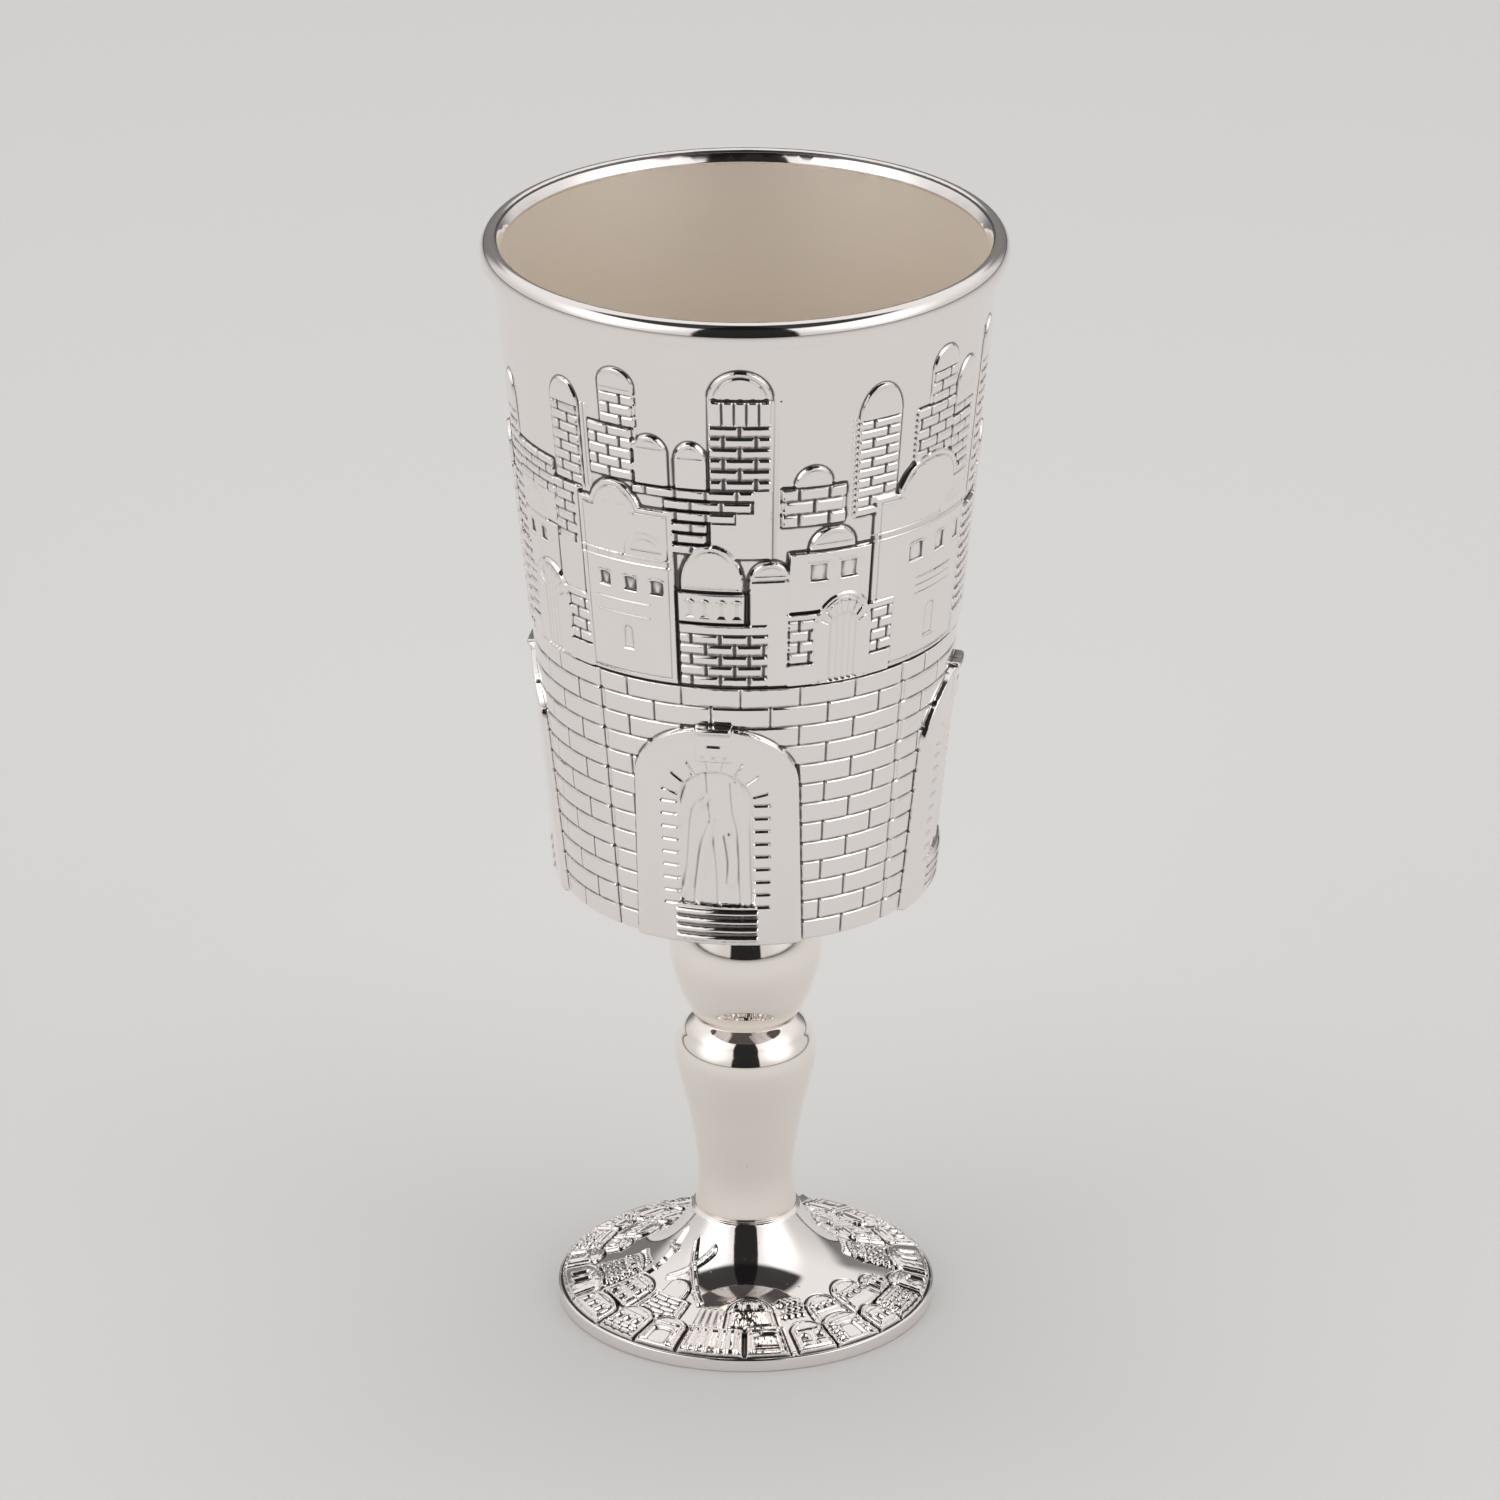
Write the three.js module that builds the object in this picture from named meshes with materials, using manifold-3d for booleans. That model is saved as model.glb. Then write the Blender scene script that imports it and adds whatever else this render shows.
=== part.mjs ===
// Footed kiddush cup with a walled city in low relief.
// Millimetres, +Z up, origin on the table at the middle of the standing ring.
import * as THREE from 'three';
import { mergeVertices } from 'three/addons/utils/BufferGeometryUtils.js';
import Module from 'manifold-3d';

const wasm = await Module();
wasm.setup();

// Foot
const footRadius = 24.25;
const footHeight = 12.5;
const footEdge = 1.7;
const footEdgeBevel = 0.15;
const footCollarRadius = 6.85;
const footCollarRound = 0.3;
const footLowerRise = 4.0;
const footFlarePower = 5;
const footShell = 1.5;
const footTopPlate = 2.2;
const standingRingWidth = 1.7;
const hollowMargin = 0.3;
const hollowCorner = 0.6;
const bellCrowding = 0.8;
const frontHouseDepth = 0.5;
const backHouseDepth = 0.34;
const landmarkDepth = 0.42;
const sailWidth = 0.9;
const galleryWidth = 0.5;

// Stem, as radii and as heights above the stem's own foot
const stemHeight = 46.8;
const stemFootRadius = 6.5;
const stemWaistRadius = 6.05;
const stemWaistHeight = 5.5;
const bellyRadius = 9.07;
const bellyHeight = 21.4;
const grooveRadius = 6.55;
const grooveHeight = 26.8;
const knopRadius = 9.65;
const knopHeight = 37.6;
const knopTopRadius = 6.6;
const stemEdgeRound = 0.25;

// Where the stem's curves pass between their main points, as shares across and up
const risingBelly = [0.43, 0.5];
const fallingBelly = [0.62, 0.66];
const risingKnop = [0.7, 0.43];

// Cup
const cupFootRadius = 23.0;
const townWallHeight = 36.0;
const skylineBand = 45.3;
const wallTopRadius = 31.2;
const rimHeight = 4.4;
const rimRollWidth = 1.42;
const rimRollHeight = 1.9;
const lipRadius = 30.0;
const lipDrop = 1.55;
const cupWall = 1.3;
const cupFloor = 2.2;
const floorCorner = 3.0;

// Relief on the cup, as heights off the wall
const brickDepth = 0.3;
const farDepth = 0.3;
const middleDepth = 0.42;
const nearDepth = 0.54;
const blockStep = 0.07;
const windowDepth = 0.3;

// How far the relief is rooted in what carries it, as shares of the wall's thickness
const wallRoot = 0.6;
const houseRoot = 0.5;
const barRoot = 0.4;

// City gates
const gateCount = 4;
const firstGateAngle = -8.5;
const gateWidth = 21.0;
const gateSpring = 22.7;
const gateCrown = 30.7;
const gateDepth = 0.95;
const doorWidth = 9.6;
const doorFoot = 5.5;
const doorSpring = 19.8;
const doorCrown = 24.7;
const doorDepth = 0.6;
const stepCount = 3;
const stepTread = 0.45;
const keystoneWidth = 4.6;
const keystoneHeight = 4.8;
const keystoneDepth = 0.7;
const keystoneRise = 0.5;

// Facets
const cupSides = 40;
const stemSides = 24;
const footSides = 32;
const fewestColumns = 4;
const mostColumns = 6;
const degreesPerColumn = 3;
const degreesPerBlockColumn = 9;
const gateColumns = 8;
const doorwayColumns = 6;
const bellRows = 6;
const balusterRows = 10;
const knopRows = 6;
const rollRows = 6;

const stemFoot = footHeight;
const cupFoot = stemFoot + stemHeight;
const townWallTop = cupFoot + townWallHeight;
const rimFoot = townWallTop + skylineBand;
const rimTop = rimFoot + rimHeight;
const reliefRoot = -wallRoot * cupWall;
const lerp = THREE.MathUtils.lerp;

// A closed three.js geometry as a solid, without the empty faces a lathe leaves on its axis.
function solidOf(geometry) {
  const bare = geometry.clone();
  bare.deleteAttribute('normal');
  bare.deleteAttribute('uv');
  const merged = mergeVertices(bare, 1e-5);
  const corners = merged.index.array;
  const faces = [];
  for (let i = 0; i < corners.length; i += 3) {
    const [a, b, c] = [corners[i], corners[i + 1], corners[i + 2]];
    if (a !== b && b !== c && c !== a) faces.push(a, b, c);
  }
  const vertProperties = new Float32Array(merged.attributes.position.array);
  const triVerts = new Uint32Array(faces);
  return new wasm.Manifold(new wasm.Mesh({ numProp: 3, vertProperties, triVerts }));
}

function geometryOf(solid) {
  const { vertProperties, triVerts } = solid.getMesh();
  const geometry = new THREE.BufferGeometry();
  geometry.setAttribute('position', new THREE.BufferAttribute(vertProperties, 3));
  geometry.setIndex(new THREE.BufferAttribute(triVerts, 1));
  geometry.computeVertexNormals();
  return geometry;
}

// Turns an outline of [radius, height] points, from the bottom on the axis to the top on it.
function turned(outline, sides) {
  const points = outline.map(([radius, height]) => new THREE.Vector2(radius, height));
  return solidOf(new THREE.LatheGeometry(points, sides).rotateX(Math.PI / 2));
}

// Points along a smooth curve through a few [radius, height] points.
function smooth(points, rows) {
  const curve = new THREE.SplineCurve(points.map(([radius, height]) => new THREE.Vector2(radius, height)));
  return curve.getPoints(rows).map((point) => [point.x, point.y]);
}

// Points on an elliptical arc, angles in degrees from the outward direction.
function arc(centre, radii, from, to, rows) {
  return Array.from({ length: rows + 1 }, (_, i) => {
    const angle = THREE.MathUtils.degToRad(lerp(from, to, i / rows));
    return [centre[0] + radii[0] * Math.cos(angle), centre[1] + radii[1] * Math.sin(angle)];
  });
}

// A point at an angle round the axis: 0 degrees faces the viewer, positive turns to the right.
function around(degrees, radius, height) {
  const angle = THREE.MathUtils.degToRad(degrees);
  return new THREE.Vector3(radius * Math.sin(angle), -radius * Math.cos(angle), height);
}

function wallRadius(height) {
  return lerp(cupFootRadius, wallTopRadius, (height - cupFoot) / (rimFoot - cupFoot));
}

const onWall = (degrees, height, lift) => around(degrees, wallRadius(height) + lift, height);

function bellHeight(radius) {
  const inward = (footRadius - radius) / (footRadius - footCollarRadius);
  const flare = footHeight - footEdge - footLowerRise;
  return footEdge + footLowerRise * inward + flare * inward ** footFlarePower;
}

// The bell's slope at a radius, as the outward normal's [radial, vertical] parts.
function bellNormal(radius) {
  const step = 0.01;
  const rise = (bellHeight(radius - step) - bellHeight(radius + step)) / (2 * step);
  const length = Math.hypot(rise, 1);
  return [rise / length, 1 / length];
}

function onBell(degrees, radius, lift) {
  const [outward, upward] = bellNormal(radius);
  return around(degrees, radius + outward * lift, bellHeight(radius) + upward * lift);
}

// A block bent onto a turned surface. outline(u, v) gives the place of its front on the surface,
// with u from 0 to 1 across and v from 0 at its foot to 1 at its top.
function bent(onto, outline, root, depth, columns, rows = 1) {
  const box = new THREE.BoxGeometry(1, 1, 1, columns, rows, 1).translate(0.5, 0.5, 0.5);
  const place = box.attributes.position;
  for (let i = 0; i < place.count; i += 1) {
    const [across, up] = outline(place.getX(i), place.getY(i));
    const point = onto(across, up, lerp(root, depth, place.getZ(i)));
    place.setXYZ(i, point.x, point.y, point.z);
  }
  return solidOf(box);
}

// How many columns a round head of this width in degrees is drawn with, always an even number.
function archColumns(width) {
  return THREE.MathUtils.clamp(2 * Math.round(width / degreesPerColumn / 2), fewestColumns, mostColumns);
}

// A square block of the skyline, between two angles and two heights.
function block(from, to, foot, top, depth) {
  const columns = Math.ceil((to - from) / degreesPerBlockColumn);
  return bent(onWall, (u, v) => [lerp(from, to, u), lerp(foot, top, v)], reliefRoot, depth, columns);
}

// A block with a round head, which springs at one height and crowns at another.
function arched(from, to, foot, spring, crown, depth, root = reliefRoot, columns = archColumns(to - from)) {
  const outline = (u, v) => {
    const across = lerp(from, to, (1 - Math.cos(Math.PI * u)) / 2);
    const top = spring + (crown - spring) * Math.sin(Math.PI * u);
    return [across, lerp(foot, top, v)];
  };
  return bent(onWall, outline, root, depth, columns);
}

// Places in the skyline are drawn in degrees and in millimetres above the town wall,
// for a band of this height, and stretch with the real band.
const drawnBand = 45.3;
const sky = (height) => townWallTop + height * skylineBand / drawnBand;

// The skyline from behind: round-headed towers and plain walls, then domed houses, then gates.
// Each entry is [from, to, foot, spring, crown] for a round head and [from, to, foot, top] for a block.
const farTowers = [
  [-79, -71, 12, 31, 35], [-52, -42, 24, 36.2, 38.8], [-36, -26, 27, 39.9, 42.1],
  [-8.7, 6.3, 17.7, 39.5, 43.3], [27.5, 39.4, 22, 35.3, 39.8], [48.7, 58.5, 28, 39.2, 42],
  [59.3, 69.2, 24, 35.2, 38.7], [74, 82, 18, 37.5, 41.5],
];
const farBlocks = [
  [-71, -53, 17.7, 26.7], [-39.8, -27, 27, 34.3], [44.5, 69, 24.7, 34.7], [6, 8.3, 17.7, 39],
];
const middleDomes = [
  [-27.4, -18.5, 26.9, 31.5, 33.9], [-17.2, -8.8, 26.9, 30.7, 33.5], [11.8, 21.4, 27, 27.6, 30.1],
  [-42, -25, 16, 19.5, 26.6], [41, 61, 18.8, 21.5, 28.4], [-69.5, -57.3, 12, 18.6, 21.7],
];
const middleBlocks = [
  [-28, -20, 24.8, 26.9], [-20, -8.5, 17.9, 26.9], [8.5, 25, 21.8, 27.3], [-44.5, -18.5, 0, 23.9],
  [-53.4, -44, 0, 24.7], [33, 69.5, 0, 19.1], [69, 82, 0, 17.5], [-79, -69, 0, 13], [84, 98, 0, 20.5],
];
const nearDomes = [
  [-30.7, -19.5, 16.5, 17.3, 20.4], [55.5, 69, 18.9, 19.5, 22.2], [16.3, 28.4, 18.3, 18.8, 21.7],
  [-16.8, -0.1, 13, 14.2, 19.7], [0.6, 11.8, 0, 14.9, 17.6], [84.5, 95.5, 20, 21.5, 25.5],
];
const nearBlocks = [
  [-17.2, 0.2, 0, 13.2], [10.6, 32.7, 10.2, 18.5], [-70.5, -44.5, 0, 10.2], [10.6, 41, 0, 10.1],
];
const smallGates = [
  { middle: 25.6, width: 16.5, doorWidth: 8.8 },
  { middle: -58.5, width: 16.5, doorWidth: 8.2 },
];
const smallGateDepth = 0.8;
const smallGateSpring = 7.6;
const smallGateCrown = 12.5;
const smallDoorSpring = 7.6;
const smallDoorCrown = 9.8;
const smallDoorFoot = 0.2;

// Windows, as [middle, width, foot, top, how far the head is arched]
const windows = [
  [18.4, 5, 14.4, 16.7, 0.2], [26.4, 5, 14.4, 16.7, 0.2],
  [-37.3, 3.6, 12.1, 13.7, 0.4], [-29.8, 3.9, 12.1, 13.7, 0.4], [-22.5, 3.9, 12.1, 13.7, 0.4],
  [47.5, 5.6, 13.9, 16.1, 0.4], [57, 4.6, 13.9, 16.1, 0.4], [65.4, 4.2, 13.9, 16.1, 0.4],
  [-13.9, 2.2, 9.8, 11.2, 0.7], [-10.2, 2.2, 9.8, 11.2, 0.7], [-5.9, 2.2, 9.8, 11.2, 0.7],
  [-2.1, 2.2, 9.8, 11.2, 0.7], [-31.3, 3.8, 3.8, 6.4, 0.9], [55.5, 5, 2.5, 6.5, 0.9],
];
const tallestTower = 3;
const towerLights = 5;
const lightSide = 0.15;
const lightFoot = 3.5;
const lightHead = 0.7;
const plainSideNarrowest = 11;

// One half of the skyline, turned by the given angle, with the forms of at least the given width.
function skyline(turn, narrowest) {
  const rounds = (places, depth) => places.filter(([from, to]) => to - from >= narrowest)
    .map(([from, to, foot, spring, crown]) => (
      arched(from + turn, to + turn, sky(foot), sky(spring), sky(crown), depth)));
  const squares = (places, depth) => places.filter(([from, to]) => to - from >= narrowest)
    .map(([from, to, foot, top]) => block(from + turn, to + turn, sky(foot), sky(top), depth));
  return [
    ...rounds(farTowers, farDepth),
    ...squares(farBlocks, farDepth + blockStep),
    ...rounds(middleDomes, middleDepth),
    ...squares(middleBlocks, middleDepth + blockStep),
    ...rounds(nearDomes, nearDepth),
    ...squares(nearBlocks, nearDepth + blockStep),
    ...rounds(smallGates.map(({ middle, width }) => (
      [middle - width / 2, middle + width / 2, 0, smallGateSpring, smallGateCrown])), smallGateDepth),
  ];
}

// A sunk opening in the skyline, cut from well outside its wall's face to windowDepth behind it.
function sunk(from, to, foot, spring, crown, face, columns) {
  const outside = gateDepth + windowDepth;
  return arched(from, to, sky(foot), sky(spring), sky(crown), outside, face - windowDepth, columns);
}

// The windows of the houses and the row of lights at the head of the tallest tower.
function skylineWindows() {
  const openings = windows.map(([middle, width, foot, top, head]) => (
    sunk(middle - width / 2, middle + width / 2, foot, top, top + head, middleDepth, 2)));
  const [from, to, , spring] = farTowers[tallestTower];
  const light = (to - from) / towerLights;
  for (let i = 0; i < towerLights; i += 1) {
    const left = from + (i + lightSide) * light;
    const right = left + (1 - 2 * lightSide) * light;
    const head = spring - lightHead;
    openings.push(sunk(left, right, spring - lightFoot, head, head, farDepth, 1));
  }
  return openings;
}

function smallDoors(turn) {
  return smallGates.map(({ middle, doorWidth: width }) => {
    const [left, right] = [turn + middle - width / 2, turn + middle + width / 2];
    return sunk(left, right, smallDoorFoot, smallDoorSpring, smallDoorCrown, smallGateDepth, fewestColumns);
  });
}

// A city gate is drawn in millimetres either side of its middle, so its sides stay upright.
function gateSlab(turn, width, foot, spring, crown, root, depth, columns) {
  const outline = (u, v) => {
    const across = width * -Math.cos(Math.PI * u) / 2;
    const height = cupFoot + lerp(foot, spring + (crown - spring) * Math.sin(Math.PI * u), v);
    return [turn + THREE.MathUtils.radToDeg(across / wallRadius(height)), height];
  };
  return bent(onWall, outline, root, depth, columns);
}

function gatePanel(turn) {
  return gateSlab(turn, gateWidth, 0, gateSpring, gateCrown, reliefRoot, gateDepth, gateColumns);
}

function gateDoorway(turn) {
  const floor = gateDepth - doorDepth;
  const outside = gateDepth + doorDepth;
  return gateSlab(turn, doorWidth, doorFoot, doorSpring, doorCrown, floor, outside, doorwayColumns);
}

// Steps below the door stand a little further out each time, and the keystone crowns the arch.
function gateTrim(turn) {
  const rise = doorFoot / (stepCount + 0.5);
  const trim = [];
  for (let i = 0; i < stepCount; i += 1) {
    const top = doorFoot - (i + 0.5) * rise;
    const out = gateDepth + stepTread * (i + 1) / stepCount;
    trim.push(gateSlab(turn, doorWidth, top - rise / 2, top, top, reliefRoot, out, 2));
  }
  const foot = gateCrown - keystoneHeight;
  const head = gateCrown + keystoneRise;
  const out = gateDepth + keystoneDepth;
  trim.push(gateSlab(turn, keystoneWidth, foot, head, head, reliefRoot, out, 2));
  return trim;
}

function cup() {
  const innerFoot = cupFoot + cupFloor;
  const rollMiddle = [wallTopRadius + rimRollWidth / 6, rimTop - rimRollHeight];
  const cornerRadius = wallRadius(innerFoot + floorCorner) - cupWall;
  const outline = [
    [0, cupFoot],
    [cupFootRadius + brickDepth, cupFoot],
    [wallRadius(townWallTop) + brickDepth, townWallTop],
    [wallRadius(townWallTop), townWallTop],
    [wallTopRadius, rimFoot],
    ...arc(rollMiddle, [rimRollWidth, rimRollHeight], -60, 120, rollRows),
    [lipRadius, rimTop - lipDrop],
    ...arc([cornerRadius - floorCorner, innerFoot + floorCorner], [floorCorner, floorCorner], 0, -90, 2),
    [0, innerFoot],
  ];
  const gateTurns = Array.from({ length: gateCount }, (_, i) => firstGateAngle + 360 / gateCount * i);
  const raised = [...skyline(0, 0), ...skyline(180, plainSideNarrowest), ...gateTurns.map(gatePanel)];
  const openings = [...skylineWindows(), ...smallDoors(0), ...smallDoors(180), ...gateTurns.map(gateDoorway)];
  let body = turned(outline, cupSides);
  for (const piece of raised) body = body.add(piece);
  for (const piece of openings) body = body.subtract(piece);
  for (const piece of gateTurns.flatMap(gateTrim)) body = body.add(piece);
  return body;
}

// The place that lies given shares of the way across and up from one place to another.
function between(start, end, [across, up]) {
  return [lerp(start[0], end[0], across), lerp(start[1], end[1], up)];
}

function stem() {
  const baluster = smooth([
    [stemFootRadius, stemEdgeRound],
    [stemWaistRadius, stemWaistHeight],
    between([stemWaistRadius, stemWaistHeight], [bellyRadius, bellyHeight], risingBelly),
    [bellyRadius, bellyHeight],
    between([grooveRadius, bellyHeight], [bellyRadius, grooveHeight], fallingBelly),
    [grooveRadius, grooveHeight],
  ], balusterRows);
  const knop = smooth([
    [grooveRadius, grooveHeight],
    between([grooveRadius, grooveHeight], [knopRadius, knopHeight], risingKnop),
    [knopRadius, knopHeight],
    [knopTopRadius, stemHeight],
  ], knopRows);
  const underside = [[0, 0], [stemFootRadius - stemEdgeRound, 0]];
  const outline = [...underside, ...baluster, ...knop.slice(1), [0, stemHeight]];
  return turned(outline.map(([radius, height]) => [radius, stemFoot + height]), stemSides);
}

// The foot's ring of houses, in degrees and in millimetres from the axis, drawn for this radius.
const drawnFoot = 24.25;
const ring = (radius) => radius * footRadius / drawnFoot;
const frontRowFoot = 23.7;
const backRowFoot = 19.3;

// Each entry is [from, to, spring, crown]: the front row, then the row behind it.
// The side that is turned away leaves out the first few of the row behind.
const plainSideSkipped = 3;
const frontHouses = [
  [-92, -71, 20.5, 18.5], [-71, -54, 21, 19.3], [-52.5, -38, 19.6, 18.1], [-37, -23, 19.5, 18],
  [-22, -1, 18.9, 18.6], [0, 14, 18.6, 18.2], [17, 29.5, 19.6, 18], [30, 46, 19.8, 18.2],
  [47, 57, 20.6, 19], [58, 73, 19.6, 19.2], [74, 87, 20, 18.6],
];
const backHouses = [
  [-92, -73, 14.2, 13.2], [-70, -53, 15.3, 13.9], [-50, -29, 15, 14.6], [-9, 13, 15.4, 13.3],
  [29, 45.5, 16, 14.3], [46.5, 65, 15.8, 13.8], [65.5, 77.5, 16.8, 15.6],
];

function footHouse([from, to, spring, crown], turn, depth, base = frontRowFoot) {
  const outline = (u, v) => {
    const top = ring(spring + (crown - spring) * Math.sin(Math.PI * u));
    return [turn + lerp(from, to, (1 - Math.cos(Math.PI * u)) / 2), lerp(ring(base), top, v)];
  };
  return bent(onBell, outline, -houseRoot * footShell, depth, fewestColumns);
}

// A straight bar on the bell between two places, each [degrees, radius].
function footBar(start, end, width, depth) {
  const outline = (u, v) => {
    const radius = lerp(start[1], end[1], u);
    return [lerp(start[0], end[0], u), ring(radius + width * (0.5 - v))];
  };
  return bent(onBell, outline, -barRoot * footShell, depth, 3);
}

// The windmill's crossed sails and cap, and the slender minaret with its gallery.
function footLandmarks() {
  return [
    footBar([-52, 12.5], [-28, 8.8], sailWidth, landmarkDepth),
    footBar([-47, 8.6], [-25, 14.4], sailWidth, landmarkDepth + blockStep),
    footHouse([-47, -33, 13.2, 12.2], 0, landmarkDepth - blockStep, 15),
    footHouse([-71.5, -68, 9.9, 8.3], 0, landmarkDepth, 14.5),
    footBar([-76, 9.8], [-63.5, 9.8], galleryWidth, landmarkDepth + blockStep),
  ];
}

function foot() {
  const outerRadius = footRadius - footEdgeBevel;
  const bell = Array.from({ length: bellRows }, (_, i) => {
    const inward = ((i + 1) / bellRows) ** bellCrowding;
    const radius = lerp(outerRadius - footEdgeBevel, footCollarRadius, inward);
    return [radius, bellHeight(radius)];
  });
  bell[bellRows - 1][1] -= footCollarRound;
  const hollowTop = footHeight - footTopPlate;
  const hollow = bell.slice(0, -1).map(([radius, height]) => {
    const [outward, upward] = bellNormal(radius);
    return [radius - outward * footShell, height - upward * footShell];
  }).filter(([radius, height]) => (
    height > footEdgeBevel && height < hollowTop - hollowMargin
    && radius < footRadius - standingRingWidth - hollowMargin));
  const outline = [
    [0, hollowTop],
    [hollow[hollow.length - 1][0] - hollowCorner, hollowTop],
    ...hollow.reverse(),
    [footRadius - standingRingWidth, 0],
    [outerRadius, 0],
    [footRadius, footEdgeBevel],
    [footRadius, footEdge - footEdgeBevel],
    [outerRadius, footEdge],
    ...bell,
    [footCollarRadius - footCollarRound, footHeight],
    [0, footHeight],
  ];
  let body = turned(outline, footSides);
  const houses = [0, 180].flatMap((turn) => [
    ...backHouses.slice(turn ? plainSideSkipped : 0)
      .map((house) => footHouse(house, turn, backHouseDepth, backRowFoot)),
    ...frontHouses.map((house) => footHouse(house, turn, frontHouseDepth)),
  ]);
  for (const piece of [...houses, ...footLandmarks()]) body = body.add(piece);
  return body;
}

function piece(name, solid, colour, roughness) {
  const material = new THREE.MeshStandardMaterial({ color: colour, roughness, metalness: 1 });
  const mesh = new THREE.Mesh(geometryOf(solid), material);
  mesh.name = name;
  return mesh;
}

const group = new THREE.Group();
group.add(piece('foot', foot(), 0xdedbd8, 0.1));
group.add(piece('stem', stem(), 0xe0ddd9, 0.08));
group.add(piece('cup', cup(), 0xdfdcda, 0.12));

export default group;
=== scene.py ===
from math import cos, radians, sin

import bpy
import numpy as np
from mathutils import Matrix, Vector


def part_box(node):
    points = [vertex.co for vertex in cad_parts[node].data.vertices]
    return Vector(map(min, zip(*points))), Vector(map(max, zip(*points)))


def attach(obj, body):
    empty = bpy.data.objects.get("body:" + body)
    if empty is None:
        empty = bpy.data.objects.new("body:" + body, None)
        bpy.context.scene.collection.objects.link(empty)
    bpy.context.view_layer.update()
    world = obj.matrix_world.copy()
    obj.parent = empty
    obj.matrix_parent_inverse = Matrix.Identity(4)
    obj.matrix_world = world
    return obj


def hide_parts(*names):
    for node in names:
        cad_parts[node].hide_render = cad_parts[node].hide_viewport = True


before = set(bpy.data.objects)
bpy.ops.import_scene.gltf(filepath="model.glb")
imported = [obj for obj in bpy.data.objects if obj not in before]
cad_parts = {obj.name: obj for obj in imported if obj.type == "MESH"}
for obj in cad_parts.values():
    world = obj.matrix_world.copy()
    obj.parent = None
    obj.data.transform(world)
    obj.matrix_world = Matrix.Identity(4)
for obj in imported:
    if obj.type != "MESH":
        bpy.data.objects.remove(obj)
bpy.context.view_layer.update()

# Every length below is in millimetres; a mesh is scaled to metres as it is made.
MM = 0.001

# Places taken from the frame
foot_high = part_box("foot")[1] / MM
cup_low, cup_high = (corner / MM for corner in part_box("cup"))
FOOT_TOP = foot_high.z
CUP_FOOT = cup_low.z
RIM_TOP = cup_high.z
FOOT_RADIUS = foot_high.x

# Camera, from the photograph
CAMERA_DISTANCE = 1199.8
CAMERA_HEIGHT = 23.21
CAMERA_AIM = 75.0
CAMERA_ROLL = 0.05
PHOTO_SIDE = 1500
FOCAL_PIXELS = 9500.0
AXIS_PIXEL = (745.4, 754.5)
SENSOR_WIDTH = 36.0

# Light tent, as smooth steps of (from, to, value before, value after), in degrees, but OPENING_BACK's in the
# direction's y. WALL_RISE is brightness, the OPENING and BACK steps are shares of light taken away, and SLIT
# and HORIZON are shares of light left.
WALL_RISE = (0.0, 40.0, 0.62, 0.85)
OPENING_FOOT = (49.0, 54.0, 0.0, 0.96)
OPENING_BACK = (0.08, 0.22, 1.0, 0.0)
BACK_TURN = (134.0, 152.0, 0.0, 0.72)
BACK_TOP = (24.0, 31.0, 1.0, 0.0)
SLIT = (21.5, 24.0, 0.015, 1.0)
HORIZON = (0.3, 2.2, 0.2, 1.0)
DARKEST = 0.01
SPOT_TURN = 62.0
SPOT_HEIGHT = 31.0
SPOT_REACH = 40.0
SPOT_POWER = 1.5
LAMP_WATTS = 16.0
LAMP_SIZE = 1600.0
LAMP_HEIGHT = 1400.0
TENT_COLOUR = (1.0, 0.985, 0.97, 1)

# Floor
FLOOR_SIDE = 12000.0
FLOOR_PAPER = (0.545, 0.54, 0.532, 1)

# Stem
STEM_FOOT_RADIUS = 6.5
STEM_EDGE_ROUND = 0.25
WAIST = (6.05, 5.5)
BELLY = (9.07, 21.4)
GROOVE = (6.55, 26.8)
KNOP = (9.65, 37.6)
KNOP_TOP_RADIUS = 6.6
STEM_COLUMNS = 192

# Cup, as in the frame's solids
HALF_TURN = 180.0
TOWN_FOOT_RADIUS = 23.0
TOWN_WALL = 36.0
WALL_TOP_RADIUS = 31.2
RIM_HEIGHT = 4.4
SKY_BAND = RIM_TOP - RIM_HEIGHT - CUP_FOOT - TOWN_WALL
RIM_ROLL = (1.42, 1.9)
LIP_RADIUS = 30.0
LIP_DROP = 1.55
ROLL_START = -58
ROLL_END = 114
ROLL_STEPS = 40
CHAMFER = ((0.03, 0.14), (0.12, 0.2), (0.2, 0.22))
# The seam's dark line, painted as shade in its crease with some grime: how deep it counts among the hollows
SEAM_SHADE = 0.3
BRUSHED_FROM = (RIM_TOP - 1.75, RIM_TOP - 1.6)
CUP_WALL = 1.3
CUP_FLOOR = 2.2
FLOOR_CORNER = 3.0
INNER_ROWS = 40

# Foot, as in the frame's solids
FOOT_EDGE = 1.7
FOOT_COLLAR = 6.85
FOOT_COLLAR_ROUND = 0.3
FOOT_LOWER_RISE = 4.0
FOOT_FLARE_POWER = 5
FOOT_SHELL = 1.5
FOOT_PLATE = 2.2
STANDING_RING = 1.7
SHELL_POINTS = 60
SHELL_CLEARANCE = 0.2
FRONT_HOUSE_DEPTH = 0.5
BACK_HOUSE_DEPTH = 0.34
LANDMARK_DEPTH = 0.42
CAST_GRAIN = 3
CAST_LUMPS = 0.01

# Relief on the cup, as heights off the wall
BRICK_DEPTH = 0.3
FAR_DEPTH = 0.3
MIDDLE_DEPTH = 0.42
NEAR_DEPTH = 0.54
BLOCK_STEP = 0.07
WINDOW_DEPTH = 0.3
SMALL_GATE_DEPTH = 0.8

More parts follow.
